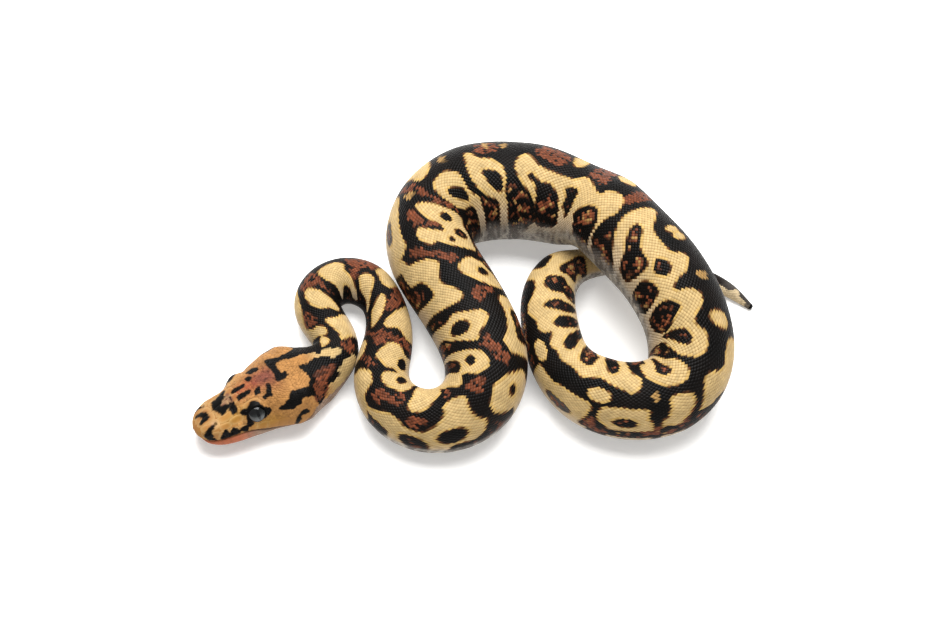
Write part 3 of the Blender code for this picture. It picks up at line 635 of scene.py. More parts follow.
def lattice_noise(spots: Array, size: float, seed: int) -> Array:
    """Smooth value noise between -1 and 1.

    Args:
        spots: positions in millimetres, one row each.
        size: width of one swell in millimetres.
        seed: picks one of many patterns.

    Returns:
        One value for each row.
    """
    scaled = spots / size + seed * 17.31
    cell = np.floor(scaled).astype(np.int64)
    part = scaled - cell
    part = part * part * (3 - 2 * part)
    total = np.zeros(len(spots))
    for corner in range(8):
        shift = np.array([corner & 1, corner >> 1 & 1, corner >> 2 & 1])
        key = (cell + shift) * np.array([73856093, 19349663, 83492791]) + seed * 2654435761
        key = key.sum(axis=1) & 0x7FFFFFFF
        key = (key ^ key >> 13) * 1274126177 & 0x7FFFFFFF
        value = (key ^ key >> 16) % 65536 / 32767.5 - 1
        weight = np.prod(np.where(shift, part, 1 - part), axis=1)
        total += weight * value
    return total


def to_linear(code: str) -> Array:
    """Turn a colour such as "#dfbd85" from sRGB into linear values."""
    value = np.array([int(code[place:place + 2], 16) / 255 for place in (1, 3, 5)])
    return np.where(value <= 0.04045, value / 12.92, ((value + 0.055) / 1.055) ** 2.4)


def mix(first: Array, second: Array, share: Array | float) -> Array:
    """Blend two colours, or rows of colours, by one share or a share for each row."""
    share = np.asarray(share)[..., None]
    return first * (1 - share) + second * share


def round_outline(outline: Outline, parts: int = 4) -> Array:
    """Run a closed smooth curve through the corners of an outline.

    Args:
        outline: corners as distance from the snout and angle in degrees.
        parts: points made for each corner.

    Returns:
        The points of the curve, one row each.
    """
    corner = np.array(outline, float)
    before, after, beyond = (np.roll(corner, shift, axis=0) for shift in (1, -1, -2))
    rows = []
    for part in range(parts):
        share = part / parts
        rows.append(0.5 * (2 * corner + (after - before) * share
                           + (2 * before - 5 * corner + 4 * after - beyond) * share ** 2
                           + (3 * corner - before - 3 * after + beyond) * share ** 3))
    return np.stack(rows, axis=1).reshape(-1, 2)


@dataclass(frozen=True)
class Palette:
    """Colours of the young python, as sRGB codes."""

    black: str = "#0a0908"
    brown: str = "#1a1411"
    rust: str = "#583120"
    ember: str = "#80462d"
    cream: str = "#b49d6d"
    gold: str = "#b29558"
    edge: str = "#85522b"
    pale: str = "#bbab94"
    belly: str = "#bdb6ab"
    smoke: str = "#6b6560"
    tan: str = "#996d3e"
    honey: str = "#966c2f"
    crown: str = "#843f28"
    mauve: str = "#68433b"
    # The lip's salmon and the chin's grey-brown are the jaw's own colours darkened by painted shade, since
    # the lower jaw faces away from the light.
    lip: str = "#a56044"
    chin: str = "#8a7362"


@dataclass(frozen=True)
class Places:
    """Places on the body and the noises, between -1 and 1, that its colours read there."""

    distance: Array             # millimetres from the snout
    degrees: Array              # angle from the middle of the back, positive to the left
    ripple: Array               # wavers the edges of the markings
    ragged: Array               # wavers the edges on the head
    cloud: Array                # broad light and dark
    fine: Array                 # groups of a few scales
    speck: Array                # one value for each scale

    def only(self, chosen: Array) -> "Places":
        """The chosen ones of the places."""
        return Places(*(getattr(self, item.name)[chosen] for item in fields(self)))


@dataclass
class Markings:
    """Where each colour lies on the body."""

    shape: BodyShape
    palette: Palette = field(default_factory=Palette)
    wobble: float = 0.28

    def tone(self, name: str, strength: float = 1.0) -> Array:
        """One colour of the palette in linear values."""
        return to_linear(getattr(self.palette, name)) * strength

    def wash(self, colour: Array, name: str, share: Array, strength: float = 1.0) -> Array:
        """Lay a colour of the palette over the given ones by a share for each place."""
        return mix(colour, self.tone(name, strength), share)

    def depth_in(self, outlines: list[Outline], distance: Array, degrees: Array) -> Array:
        """How deep each place lies inside any of the outlines, in millimetres.

        Args:
            outlines: closed outlines over distance and degrees.
            distance: millimetres from the snout.
            degrees: angle from the middle of the back.

        Returns:
            Depth, positive inside and negative outside.
        """
        arc = np.radians(1.0) * self.shape.radius(np.clip(distance, 2.0, None))
        best = np.full(len(distance), FAR_OUTSIDE)
        for outline in outlines:
            curve = round_outline(outline)
            near = np.flatnonzero((distance > curve[:, 0].min() - 3) & (distance < curve[:, 0].max() + 3))
            if len(near) == 0:
                continue
            corner = np.stack([curve[:, 0], curve[:, 1] * np.radians(1.0)
                               * self.shape.radius(np.clip(curve[:, 0], 2.0, None))], axis=1)
            spot = np.stack([distance[near], degrees[near] * arc[near]], axis=1)
            gap = np.full(len(near), FAR_OUTSIDE ** 2)
            inside = np.zeros(len(near), bool)
            for start, end in zip(corner, np.roll(corner, -1, axis=0)):
                edge = end - start
                offset = spot - start
                share = np.clip(offset @ edge / (edge @ edge + 1e-12), 0, 1)
                gap = np.minimum(gap, ((offset - share[:, None] * edge) ** 2).sum(axis=1))
                crosses = (start[1] > spot[:, 1]) != (end[1] > spot[:, 1])
                rise = np.where(abs(edge[1]) > 1e-12, edge[1], 1e-12)
                inside ^= crosses & (spot[:, 0] < start[0] + edge[0] * (spot[:, 1] - start[1]) / rise)
            best[near] = np.maximum(best[near], np.where(inside, 1, -1) * np.sqrt(gap))
        return best

    def depth_of_spots(self, spots: list[Key], at: Places) -> Array:
        """How deep each place lies in any oval spot, in rough millimetres.

        Args:
            spots: distance, angle, half length and half angle of each spot.
            at: where the depth is read.

        Returns:
            Depth, positive inside and negative outside.
        """
        best = np.full(len(at.distance), FAR_OUTSIDE)
        for place, turn, half_length, half_turn in spots:
            off = np.sqrt(((at.distance - place) / half_length) ** 2 + ((at.degrees - turn) / half_turn) ** 2)
            best = np.maximum(best, (1 - off) * half_length)
        return best

    def depth_of(self, outlines: list[Outline], spots: list[Key], at: Places) -> Array:
        """How deep each place lies inside any of the outlines or spots."""
        return np.maximum(self.depth_in(outlines, at.distance, at.degrees), self.depth_of_spots(spots, at))

    def colours(self, distance: Array, degrees: Array, crisp: float = 0.12,
                chance: Array | None = None) -> tuple[Array, Array]:
        """Colour of the scales and of the seams between them.

        Args:
            distance: millimetres from the snout.
            degrees: angle from the middle of the back, positive to the left.
            crisp: width over which one colour turns into the next, in millimetres.
            chance: one random number between 0 and 1 for each scale, read by the flecks.

        Returns:
            Linear colours of the scales, and of the seams round them.
        """
        spots = self.shape.point(distance, np.radians(degrees))
        ripple = self.wobble * lattice_noise(spots, 1.6, 3)
        at = Places(distance, degrees, ripple, ripple + 0.5 * lattice_noise(spots, 0.5, 17),
                    lattice_noise(spots, 4.0, 7), lattice_noise(spots, 1.3, 15),
                    lattice_noise(spots, 0.9, 5) if chance is None else 2 * chance - 1)
        body, seam = self.body_colours(at, crisp)
        on_head = distance < HEAD_COLOUR_END
        near = at.only(on_head)
        head, head_seam = self.head_colours(near, crisp)
        turn, edge = np.array(HEAD_GROUND_EDGE, float).T
        share = smooth_step(np.interp(near.degrees, turn, edge) - near.distance, -crisp, crisp)
        body[on_head] = mix(body[on_head], head, share)
        seam[on_head] = mix(seam[on_head], head_seam, share)
        return body, seam

    def body_colours(self, at: Places, crisp: float) -> tuple[Array, Array]:
        """Colours of the scales and seams of the neck, trunk and tail.

        Args:
            at: where the colours are read.
            crisp: width over which one colour turns into the next, in millimetres.

        Returns:
            Linear colours of the scales, and of the seams round them.
        """
        turn = np.abs(at.degrees)
        smoky = self.depth_of_spots(SMOKE_SPOTS, at)
        dark = self.depth_of(DARK_FIELDS, DARK_SPOTS, at) + 0.4 * at.ripple
        light = self.depth_of(LIGHT_FIELDS, LIGHT_SPOTS, at) + 0.5 * at.ripple
        light = np.minimum(light + 0.12, np.minimum(0.08 - dark, -smoky))
        colour = mix(self.tone("black"), self.tone("brown"), np.clip(0.25 + 0.35 * at.cloud, 0, 1))
        colour = self.wash(colour, "smoke", 0.45 * smooth_step(smoky, -0.2, 0.4))
        colour = self.rust_over(colour, light, dark, at)
        inner = mix(self.tone("gold"), self.tone("cream"), smooth_step(light, 0.15, 0.6))
        inner = self.wash(inner, "pale", 0.8 * smooth_step(turn + 6 * at.cloud, 52, 90))
        share = smooth_step(light, -crisp, crisp)
        colour = self.wash(colour, "edge", 0.45 * bell(light, -0.08, 0.11))
        colour = mix(colour, inner, share)
        rim = mix(self.tone("edge"), self.tone("smoke"), 0.6 * smooth_step(turn, 70, 100))
        seam = mix(self.tone("black", 0.5), mix(rim, inner, 0.36), share)
        colour = mix(colour, self.tail_colour(at), smooth_step(at.distance, *TAIL_COLOUR_FADE))
        pale = self.belly_colour(share, at)
        edge = np.interp(at.distance, *np.array(BELLY_GROUND_EDGE, float).T)
        belly = smooth_step(turn + 6 * at.cloud, edge, edge + 18)
        return mix(colour, pale, belly), mix(seam, pale * 0.55, belly)

    def rust_over(self, colour: Array, light: Array, dark: Array, at: Places) -> Array:
        """Lay the rust patches over the dark ground, and flecks on the flanks and in the dark marks.

        Args:
            colour: the ground's colour at each place.
            light: how deep each place lies in the light fields, in millimetres.
            dark: the same for the dark marks inside them.
            at: where the colours are read.

        Returns:
            The colour with the rust over it.
        """
        turn = np.abs(at.degrees)
        ember = mix(self.tone("rust"), self.tone("ember"), np.clip(0.4 + 0.5 * at.speck, 0, 1))
        rust = self.depth_in(RUST_FIELDS, at.distance, at.degrees) + 2.0 * at.ripple
        patch = smooth_step(rust + 0.35 * at.speck, -0.1, 0.25) * smooth_step(at.speck, -0.80, -0.62)
        colour = mix(colour, ember, patch)
        flank = smooth_step(turn, 46, 58) * smooth_step(turn, 104, 90) * smooth_step(at.distance, 322, 312)
        inside = flank * smooth_step(-light, 0.8, 1.4) * smooth_step(at.distance, 44, 50)
        inside = np.maximum(inside, smooth_step(dark, 0.75, 1.2) * smooth_step(at.distance, 196, 198))
        rear = smooth_step(at.distance, 126, 132)
        heat = at.fine + 0.45 * at.speck - 0.2 * (1 - rear)
        colour = mix(colour, ember, 0.72 * inside * smooth_step(heat, 0.08, 0.3))
        colour = self.wash(colour, "ember", 0.9 * inside * rear * smooth_step(heat, 0.36, 0.5))
        bright = inside * rear * smooth_step(heat, 0.62, 0.80)
        tan_spot = self.depth_of_spots(TAN_SPOTS, at)
        bright = np.maximum(bright, smooth_step(tan_spot + 0.3 * at.speck, -0.1, 0.2))
        return mix(colour, self.tone("ember", 0.4) + self.tone("gold", 0.6), bright)

    def belly_colour(self, share: Array, at: Places) -> Array:
        """Pale belly, streaked with smoke most of all below the dark ground; the smoke over the lower flanks,
        above the white underside, is partly painted shade.

        Args:
            share: how light the ground beside the belly is, from 0 to 1.
            at: where the colour is read.

        Returns:
            One linear colour for each place.
        """
        streak = lattice_noise(np.stack([at.distance, 0.06 * at.degrees, 0 * at.distance], axis=1), 0.6, 9)
        shade = np.clip(0.30 + 0.55 * (1 - share) + 0.9 * streak + 0.25 * at.cloud, 0, 0.95)
        # The smoke is strongest on the lower flanks and fades out on the underside: real streaks plus painted
        # shade where the flanks turn down to the floor.
        return mix(self.tone("belly"), self.tone("smoke"), shade * smooth_step(np.abs(at.degrees), 152, 122))

    def tail_colour(self, at: Places) -> Array:
        """Cream tail with dark broken bands across its back, and a dark tip.

        Args:
            at: where the colour is read.

        Returns:
            One linear colour for each place.
        """
        rag = 9 * lattice_noise(np.stack([at.distance, 0.1 * at.degrees, 0 * at.distance], axis=1), 0.45, 13)
        edge = np.interp(at.distance, *np.array(TAIL_DARK_EDGE, float).T)
        band = smooth_step(edge + rag - at.degrees, -4, 4) * smooth_step(at.degrees, -150, -140)
        tip = smooth_step(at.distance, *TAIL_TIP_FADE)
        cream = mix(self.tone("cream"), self.tone("pale"), 0.5) * 1.2
        dark = mix(self.tone("brown"), self.tone("smoke"), np.clip(0.2 + 0.3 * at.cloud, 0, 1))
        return mix(cream, dark, np.maximum(band, 0.85 * tip))

    def head_colours(self, at: Places, crisp: float) -> tuple[Array, Array]:
        """Colours of the scales and seams of the head.

        Args:
            at: where the colours are read.
            crisp: width over which one colour turns into the next, in millimetres.

        Returns:
            Linear colours of the scales, and of the seams round them.
        """
        distance = at.distance
        turn = np.where(at.degrees < MIRROR_FROM, -at.degrees, at.degrees)
        mauve = self.depth_in(HEAD_MAUVE, distance, at.degrees)
        rust = self.depth_in(HEAD_RUST, distance, turn)
        dark = np.maximum(self.depth_in(HEAD_DARK, distance, at.degrees),
                          self.depth_in(HEAD_DARK_PAIRED, distance, turn))
        dark = np.minimum(np.minimum(dark, -rust), 0.25 - mauve)
        grown = dark + 0.15 + 0.14 * smooth_step(distance, 9.8, 10.8)
        ground = smooth_step(grown + 0.5 * at.ragged, -crisp, crisp)
        colour = self.wash(self.head_ground(turn, at), "mauve", 0.85 * smooth_step(mauve, -0.3, 0.3), 0.9)
        ember = mix(self.tone("rust"), self.tone("ember"), np.clip(0.5 + 0.6 * at.speck, 0, 1))
        ember = self.wash(ember, "brown", 0.8 * smooth_step(at.speck + at.cloud, 0.25, 0.4))
        colour = mix(colour, ember, smooth_step(rust + 0.4 + 0.4 * at.ragged, -crisp, crisp))
        # On the snout the plates' rims turn brighter than cream: partly their paler edge colour, partly a
        # painted highlight along the rounded plate edges.
        seam = mix(colour * 0.85, self.tone("cream", 1.35), 0.65 * smooth_step(distance, 17, 12))
        colour = self.wash(colour, "black", ground)
        seam = self.wash(seam, "black", ground, 0.5)
        lips = (turn - read_keys(MOUTH_LINE, distance)) * np.radians(1.0) * self.shape.radius(distance)
        under = smooth_step(lips, 0.0, 0.15)
        # The darker, greyer chin tone toward the back and under the jaw is painted shade on the jaw's
        # underside, over the lip's own colour.
        chin = mix(self.tone("lip"), self.tone("chin"),
                   np.clip(smooth_step(distance, 7, 13) + smooth_step(turn, 128, 150), 0, 1))
        colour = mix(colour, chin, under)
        seam = mix(seam, chin * 0.6, under)
        # Dark line along the lips, from below the eye to the jaw's corner: painted shade in the crease
        # between the lips.
        line = np.exp(-(lips / 0.16) ** 2) * smooth_step(distance, 9, 12) * smooth_step(distance, 27, 24)
        off = (distance - NOSTRIL[0]) ** 2 + ((turn - NOSTRIL[1]) * 0.08) ** 2
        # Paler ring round the nostril: the scale's pale colour, with a painted highlight on the nostril's
        # raised rim.
        colour = self.wash(colour, "pale", 0.4 * np.exp(-off / 0.75 ** 2) * (1 - ground))
        colour = self.wash(colour, "smoke", 0.85 * line, 0.25)
        # Dark red spot in the nostril itself: painted shade in the hole.
        return self.wash(colour, "crown", np.exp(-off / 0.26 ** 2), 0.35), seam

    def head_ground(self, turn: Array, at: Places) -> Array:
        """Tan of the head: cream at the nape, honey on the snout, cheek and lip, red on the crown.

        Args:
            turn: angle from the crown, with the right side mirrored to the left.
            at: where the colour is read.

        Returns:
            One linear colour for each place.
        """
        distance = at.distance
        nape = smooth_step(distance, 28.5, 33.0)
        colour = mix(self.tone("tan"), self.tone("cream"), 0.8 * nape)
        honey = bell(turn, 48, 18) * bell(distance, 8.5, 3.4)
        honey = np.maximum(honey, bell(turn, 92, 14) * bell(distance, 14.5, 3.5))
        honey = np.maximum(honey, 0.5 * bell(distance, 0.6, 1.2))
        colour = self.wash(colour, "honey", np.clip(0.9 * honey, 0, 1))
        crown = bell(at.degrees, 6, 20) * smooth_step(distance, 9.5, 12) * smooth_step(distance, 22.5, 19.5)
        colour = self.wash(colour, "crown", np.clip(crown * (0.95 + 0.15 * at.speck), 0, 1))
        grain = crown * smooth_step(distance, 13.5, 18.0)
        colour = self.wash(colour, "mauve", 0.7 * grain, 0.9)
        colour = self.wash(colour, "brown", 0.7 * grain * smooth_step(at.speck + at.cloud, 0.55, 0.8))
        return self.wash(colour, "crown", 0.22 * smooth_step(distance, 6.5, 3.0) * bell(turn, 0, 30))


def mesh_of(builder: bmesh.types.BMesh, name: str) -> Mesh:
    """Turn a finished bmesh into a smooth-shaded mesh.

    Args:
        builder: the bmesh, which is freed.
        name: name of the mesh.

    Returns:
        The mesh.
    """
    mesh = bpy.data.meshes.new(name)
    builder.to_mesh(mesh)
    builder.free()
    mesh.shade_smooth()
    return mesh


def join_copies(name: str, spots: Array, pattern: list[list[int]]) -> Mesh:
    """One smooth-shaded mesh of many parts that have the same faces.

    Args:
        name: name of the mesh.
        spots: positions in metres: part, point, (x, y, z).
        pattern: corner numbers of one part's faces.

    Returns:
        The mesh.
    """
    count, each = spots.shape[:2]
    firsts = range(0, count * each, each)
    faces = [[corner + first for corner in face] for first in firsts for face in pattern]
    mesh = bpy.data.meshes.new(name)
    mesh.from_pydata(spots.reshape(-1, 3).tolist(), [], faces)
    mesh.shade_smooth()
    return mesh


def paint_points(mesh: Mesh, colour: Array) -> None:
    """Store one linear colour for each point as the attribute that the finishes read.

    Args:
        mesh: the mesh to paint.
        colour: one row for each of its points.
    """
    layer = mesh.color_attributes.new(name="Markings", type="FLOAT_COLOR", domain="POINT")
    rows = np.concatenate([colour, np.ones((len(colour), 1))], axis=1)
    layer.data.foreach_set("color", rows.reshape(-1).astype(np.float32))


def link(mesh: Mesh, finish: Finish) -> Piece:
    """Put a dressed mesh in the scene as an object at the origin that moves with the body.

    Args:
        mesh: the finished mesh, whose name the object takes.
        finish: its material.

    Returns:
        The object.
    """
    mesh.materials.append(finish)
    piece = bpy.data.objects.new(mesh.name, mesh)
    bpy.context.scene.collection.objects.link(piece)
    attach(piece, "root")
    LOG.info("%s: %d faces", mesh.name, len(mesh.polygons))
    return piece


@dataclass
class PlateBatch:
    """Many small closed plates joined in one mesh, each a polar dome on the body's surface.

    Each plate has a middle, rings of points out to its rim, and one point under it.
    """

    shape: BodyShape
    markings: Markings
    middle: Array               # distance and angle in radians of each plate's middle
    reach: Array                # offsets from the middle to the rim: plate, point, (distance, angle)
    rings: Key                  # shares of the reach, the last one being the rim
    rise: Key                   # height of the middle and of each ring
    tilt: float = 0.0           # height gained from the front of a plate to its rear
    lilt: float = 0.0           # random tip of each plate to either side, in millimetres
    patch: float = 0.003        # width of a plate's patch on the baking map
    per_point: bool = False     # colours are read at each point instead of near the middle
    unevenness: float = 0.07    # how much one plate is lighter or darker than the next
    seam: float = 1.0           # how strongly the rim takes the seam's colour
    seam_start: float = 0.40    # share of the reach at which the seam's colour sets in
    around: int = field(init=False)

    def __post_init__(self) -> None:
        """Count the points round a plate."""
        self.around = self.reach.shape[1]

    def points(self) -> tuple[Array, Array, Array]:
        """Work out every point of the plates.

        Returns:
            Distance, angle and height of the points, one row for each plate.
        """
        share = np.concatenate([[0.0], np.repeat(self.rings, self.around), [0.0]])
        turn = np.concatenate([[0], np.tile(np.arange(self.around), len(self.rings)), [0]])
        offset = self.reach[:, turn, :] * share[None, :, None]
        place = self.middle[:, None, :] + offset
        height = np.concatenate([self.rise[:1], np.repeat(self.rise[1:], self.around), [PLATE_UNDERSIDE]])
        span = np.abs(self.reach[..., 0]).max(axis=1)[:, None]
        wide = np.abs(offset[..., 1]).max(axis=1)[:, None]
        tip = np.random.default_rng(23).uniform(-self.lilt, self.lilt, (2, len(wide), 1))
        lean = self.tilt * np.clip(offset[..., 0] / span, -1, 1)
        lean = lean + tip[0] * offset[..., 0] / span + tip[1] * offset[..., 1] / wide
        return place[..., 0], place[..., 1], height[None, :] + lean

    def faces(self) -> tuple[list[list[int]], int]:
        """Number the corners of one plate's faces.

        Returns:
            The faces, and how many of them are on top.
        """
        around = self.around
        after = [(turn + 1) % around for turn in range(around)]
        fan = [[0, 1 + turn, 1 + after[turn]] for turn in range(around)]
        for ring in range(len(self.rings) - 1):
            low, high = 1 + ring * around, 1 + (ring + 1) * around
            fan += [[low + turn, high + turn, high + after[turn], low + after[turn]]
                    for turn in range(around)]
        rim, under = 1 + (len(self.rings) - 1) * around, 1 + len(self.rings) * around
        below = [[under, rim + after[turn], rim + turn] for turn in range(around)]
        return fan + below, len(fan)

    def build(self, name: str, finish: Finish, slot: str) -> Piece:
        """Make the joined mesh.

        Args:
            name: name of the piece.
            finish: its material.
            slot: its material slot; not used.

        Returns:
            The object, at the origin.
        """
        distance, angle, height = self.points()
        spots = self.shape.surface(distance.ravel(), angle.ravel(), height.ravel()) * MM
        pattern, top_count = self.faces()
        mesh = join_copies(name, spots.reshape(*distance.shape, 3), pattern)
        self.paint(mesh, distance, angle)
        self.lay_baking_map(mesh, distance, angle, pattern, top_count)
        return link(mesh, finish)

    def paint(self, mesh: Mesh, distance: Array, angle: Array) -> None:
        """Write the markings to the mesh as a colour for each point.

        Args:
            mesh: the joined mesh.
            distance: distance of each point, one row for each plate.
            angle: angle of each point.
        """
        count, each = distance.shape
        random = np.random.default_rng(11)
        chance = random.uniform(size=(count, 1))
        if self.per_point:
            places = np.stack([distance, angle], axis=-1)
            source = np.arange(each)
        else:
            offset = np.concatenate([np.zeros((count, 1, 2)), 0.14 * self.reach], axis=1)
            places = self.middle[:, None, :] + offset
            source = np.concatenate([[0], np.tile(np.arange(1, self.around + 1), len(self.rings)), [0]])
        read = places.shape[1]
        scale, seam = self.markings.colours(np.clip(places[..., 0].ravel(), 0, None),
                                            np.degrees(places[..., 1].ravel()), 0.10,
                                            np.repeat(chance, read, axis=1).ravel())
        scale, seam = scale.reshape(count, read, 3)[:, source], seam.reshape(count, read, 3)[:, source]
        tone = 1 + self.unevenness * random.standard_normal((count, 1, 1)).clip(-2, 2)
        rim = np.clip((np.array(self.rings) - self.seam_start) / (1 - self.seam_start), 0, 1) ** 1.3
        rim = np.concatenate([[0.0], np.repeat(rim, self.around), [1.0]])
        share = self.seam * rim[None, :, None]
        colour = np.clip((scale * (1 - share) + seam * share) * tone, 0, 1)
        paint_points(mesh, colour.reshape(-1, 3))

    def lay_baking_map(self, mesh: Mesh, distance: Array, angle: Array,
                       pattern: list[list[int]], top_count: int) -> None:
        """Give each plate a small patch at its root's place on the body's own unwrap.

        Args:
            mesh: the joined mesh.
            distance: distance of each point, one row for each plate.
            angle: angle of each point.
            pattern: corner numbers of one plate's faces.
            top_count: how many of those faces are on top.
        """
        low, high = self.middle[:, 0].min(), self.middle[:, 0].max()
        root = np.stack([(self.middle[:, 0] - low) / (high - low + 1e-6) * 0.97 + 0.015,
                         (self.middle[:, 1] / (2 * pi) + 0.5) * 0.97 + 0.015], axis=1)
        off = np.stack([distance - self.middle[:, :1], angle - self.middle[:, 1:]], axis=-1)
        off = off / (np.abs(off).max(axis=1, keepdims=True) + 1e-9)
        corners = [corner for face in pattern for corner in face]
        on_top = np.concatenate([[number < top_count] * len(face) for number, face in enumerate(pattern)])
        half = np.where(on_top, self.patch / 2, self.patch / 20)[None, :, None]
        shift = np.where(on_top, 0.0, self.patch * 0.62)[None, :, None] * np.array([0.0, 1.0])
        place = root[:, None, :] + off[:, corners, :] * half + shift
        layer = mesh.uv_layers.new(name="OFBake")
        layer.data.foreach_set("uv", place.reshape(-1).astype(np.float32))


@dataclass
class Skin:
    """One skin over the whole animal, a coat's depth under the tops of the scales."""

    shape: BodyShape
    markings: Markings
    sides: int = 144
    head_step: float = 0.3
    body_step: float = 1.1
    tail_end: float = 6.0       # length at the tip with closer rings

    def rows(self) -> Array:
        """Place the rings, close together on the head and at both ends.

        Returns:
            Distance of each ring.
        """
        tip = np.linspace(-TIP_DEPTH, 0.0, 6)
        head = np.arange(self.head_step / 2, NECK_START, self.head_step)
        last = self.shape.length - self.tail_end
        body = np.arange(NECK_START, last, self.body_step)
        tail = np.linspace(last, self.shape.length + TIP_DEPTH, 14)
        return np.concatenate([tip, head, body, tail])

    def build(self, finish: Finish) -> Piece:
        """Wrap a flat grid round the body, weld its seam and close its ends.

        Args:
            finish: its material.

        Returns:
            The object, which replaces all nodes but the eyes.
        """
        rows = self.rows()
        builder = bmesh.new()
        uv_layer = builder.loops.layers.uv.new("OFBake")
        bmesh.ops.create_grid(builder, x_segments=self.sides, y_segments=len(rows) - 1, size=0.5)
        flat = np.array([vert.co[:2] for vert in builder.verts]) + 0.5
        angle = (flat[:, 0] - 0.5) * 2 * pi
        distance = np.interp(flat[:, 1], np.linspace(0, 1, len(rows)), rows)
        whole = self.shape.length + 2 * TIP_DEPTH
        for face in builder.faces:
            for loop in face.loops:
                number = loop.vert.index
                loop[uv_layer].uv = (float(distance[number] + TIP_DEPTH) / whole, float(flat[number, 0]))
        depth = COAT_DEPTH - FACE_SKIN_RISE * smooth_step(distance, 30.0, 26.0)
        spots = self.shape.surface(distance, angle, -depth) * MM
        lift = self.shape.at("lift", np.clip(distance, 0, self.shape.length)) + SKIN_CLEARANCE
        spots[:, 2] = np.maximum(spots[:, 2], lift * MM)
        scale, seam = self.markings.colours(np.clip(distance, 0, self.shape.length), np.degrees(angle))
        colour = mix(0.75 * seam, 0.97 * scale, smooth_step(distance, 34.0, 28.0))
        tint = builder.verts.layers.float_color.new("Markings")
        for vert, spot, row in zip(builder.verts, spots.tolist(), colour.tolist()):
            vert.co = spot
            vert[tint] = (*row, 1.0)
        bmesh.ops.remove_doubles(builder, verts=builder.verts, dist=0.004 * MM)
        bmesh.ops.recalc_face_normals(builder, faces=builder.faces)
        skin = link(mesh_of(builder, "skin"), finish)
        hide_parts(*FLESH_NODES)
        return skin


@dataclass
class BodyScales:
    """The rows of overlapping scales from the nape to the tip of the tail."""

    shape: BodyShape
    markings: Markings
    start: float = 27.0
    width_key: float = 0.88     # spacing of the rows where the body's radius is the key radius
    length_key: float = 1.04    # spacing of the scales in a row there
    points: int = 8
    squareness: float = 1.2     # of the outline: 1 is a lozenge, 2 an oval
    pieces: int = 6             # keeps each piece under 200,000 triangles

    def middles(self) -> Array:
        """Place every scale in its row.

        Returns:
            Distance, angle, row pitch and length pitch of each scale.
        """
        rows = []
        place, column = self.start, 0
        while place < self.shape.length - 0.6:
            radius = float(self.shape.radius(np.array(place)))
            growth = (radius / KEY_RADIUS) ** 0.28      # scales shrink with the body, but less than it does
            width, length = self.width_key * growth, self.length_key * growth
            edge = radians(BELLY_EDGE) * radius / width
            count = int(edge)
            for number in range(-count, count + 1):
                row = number + 0.5 * (column % 2)
                if abs(row) <= edge:
                    rows.append((place, row * width / radius, width / radius, length))
            place += length / 2
            column += 1
        return np.array(rows)

    def outline(self) -> Array:
        """Draw a rounded lozenge, longer than wide.

        Returns:
            Its points, as shares of the length pitch and the row pitch.
        """
        turn = np.linspace(0, 2 * pi, self.points, endpoint=False)
        power = self.squareness
        reach = (np.abs(np.cos(turn)) ** power + np.abs(np.sin(turn)) ** power) ** (-1 / power)
        return np.stack([0.65 * reach * np.cos(turn), 0.60 * reach * np.sin(turn)], axis=1)

    def build(self, finish: Finish) -> None:
        """Make one piece for each stretch of the body.

        Args:
            finish: their material.
        """
        for number, part in enumerate(np.array_split(self.middles(), self.pieces), 1):
            reach = self.outline()[None] * np.stack([part[:, 3], part[:, 2]], axis=1)[:, None, :]
            batch = PlateBatch(self.shape, self.markings, part[:, :2], reach, (0.64, 1.0),
                               (-0.045, -0.075, -0.185), tilt=0.04, lilt=0.025)
            batch.build(f"scales_{number}", finish, "body_skin")


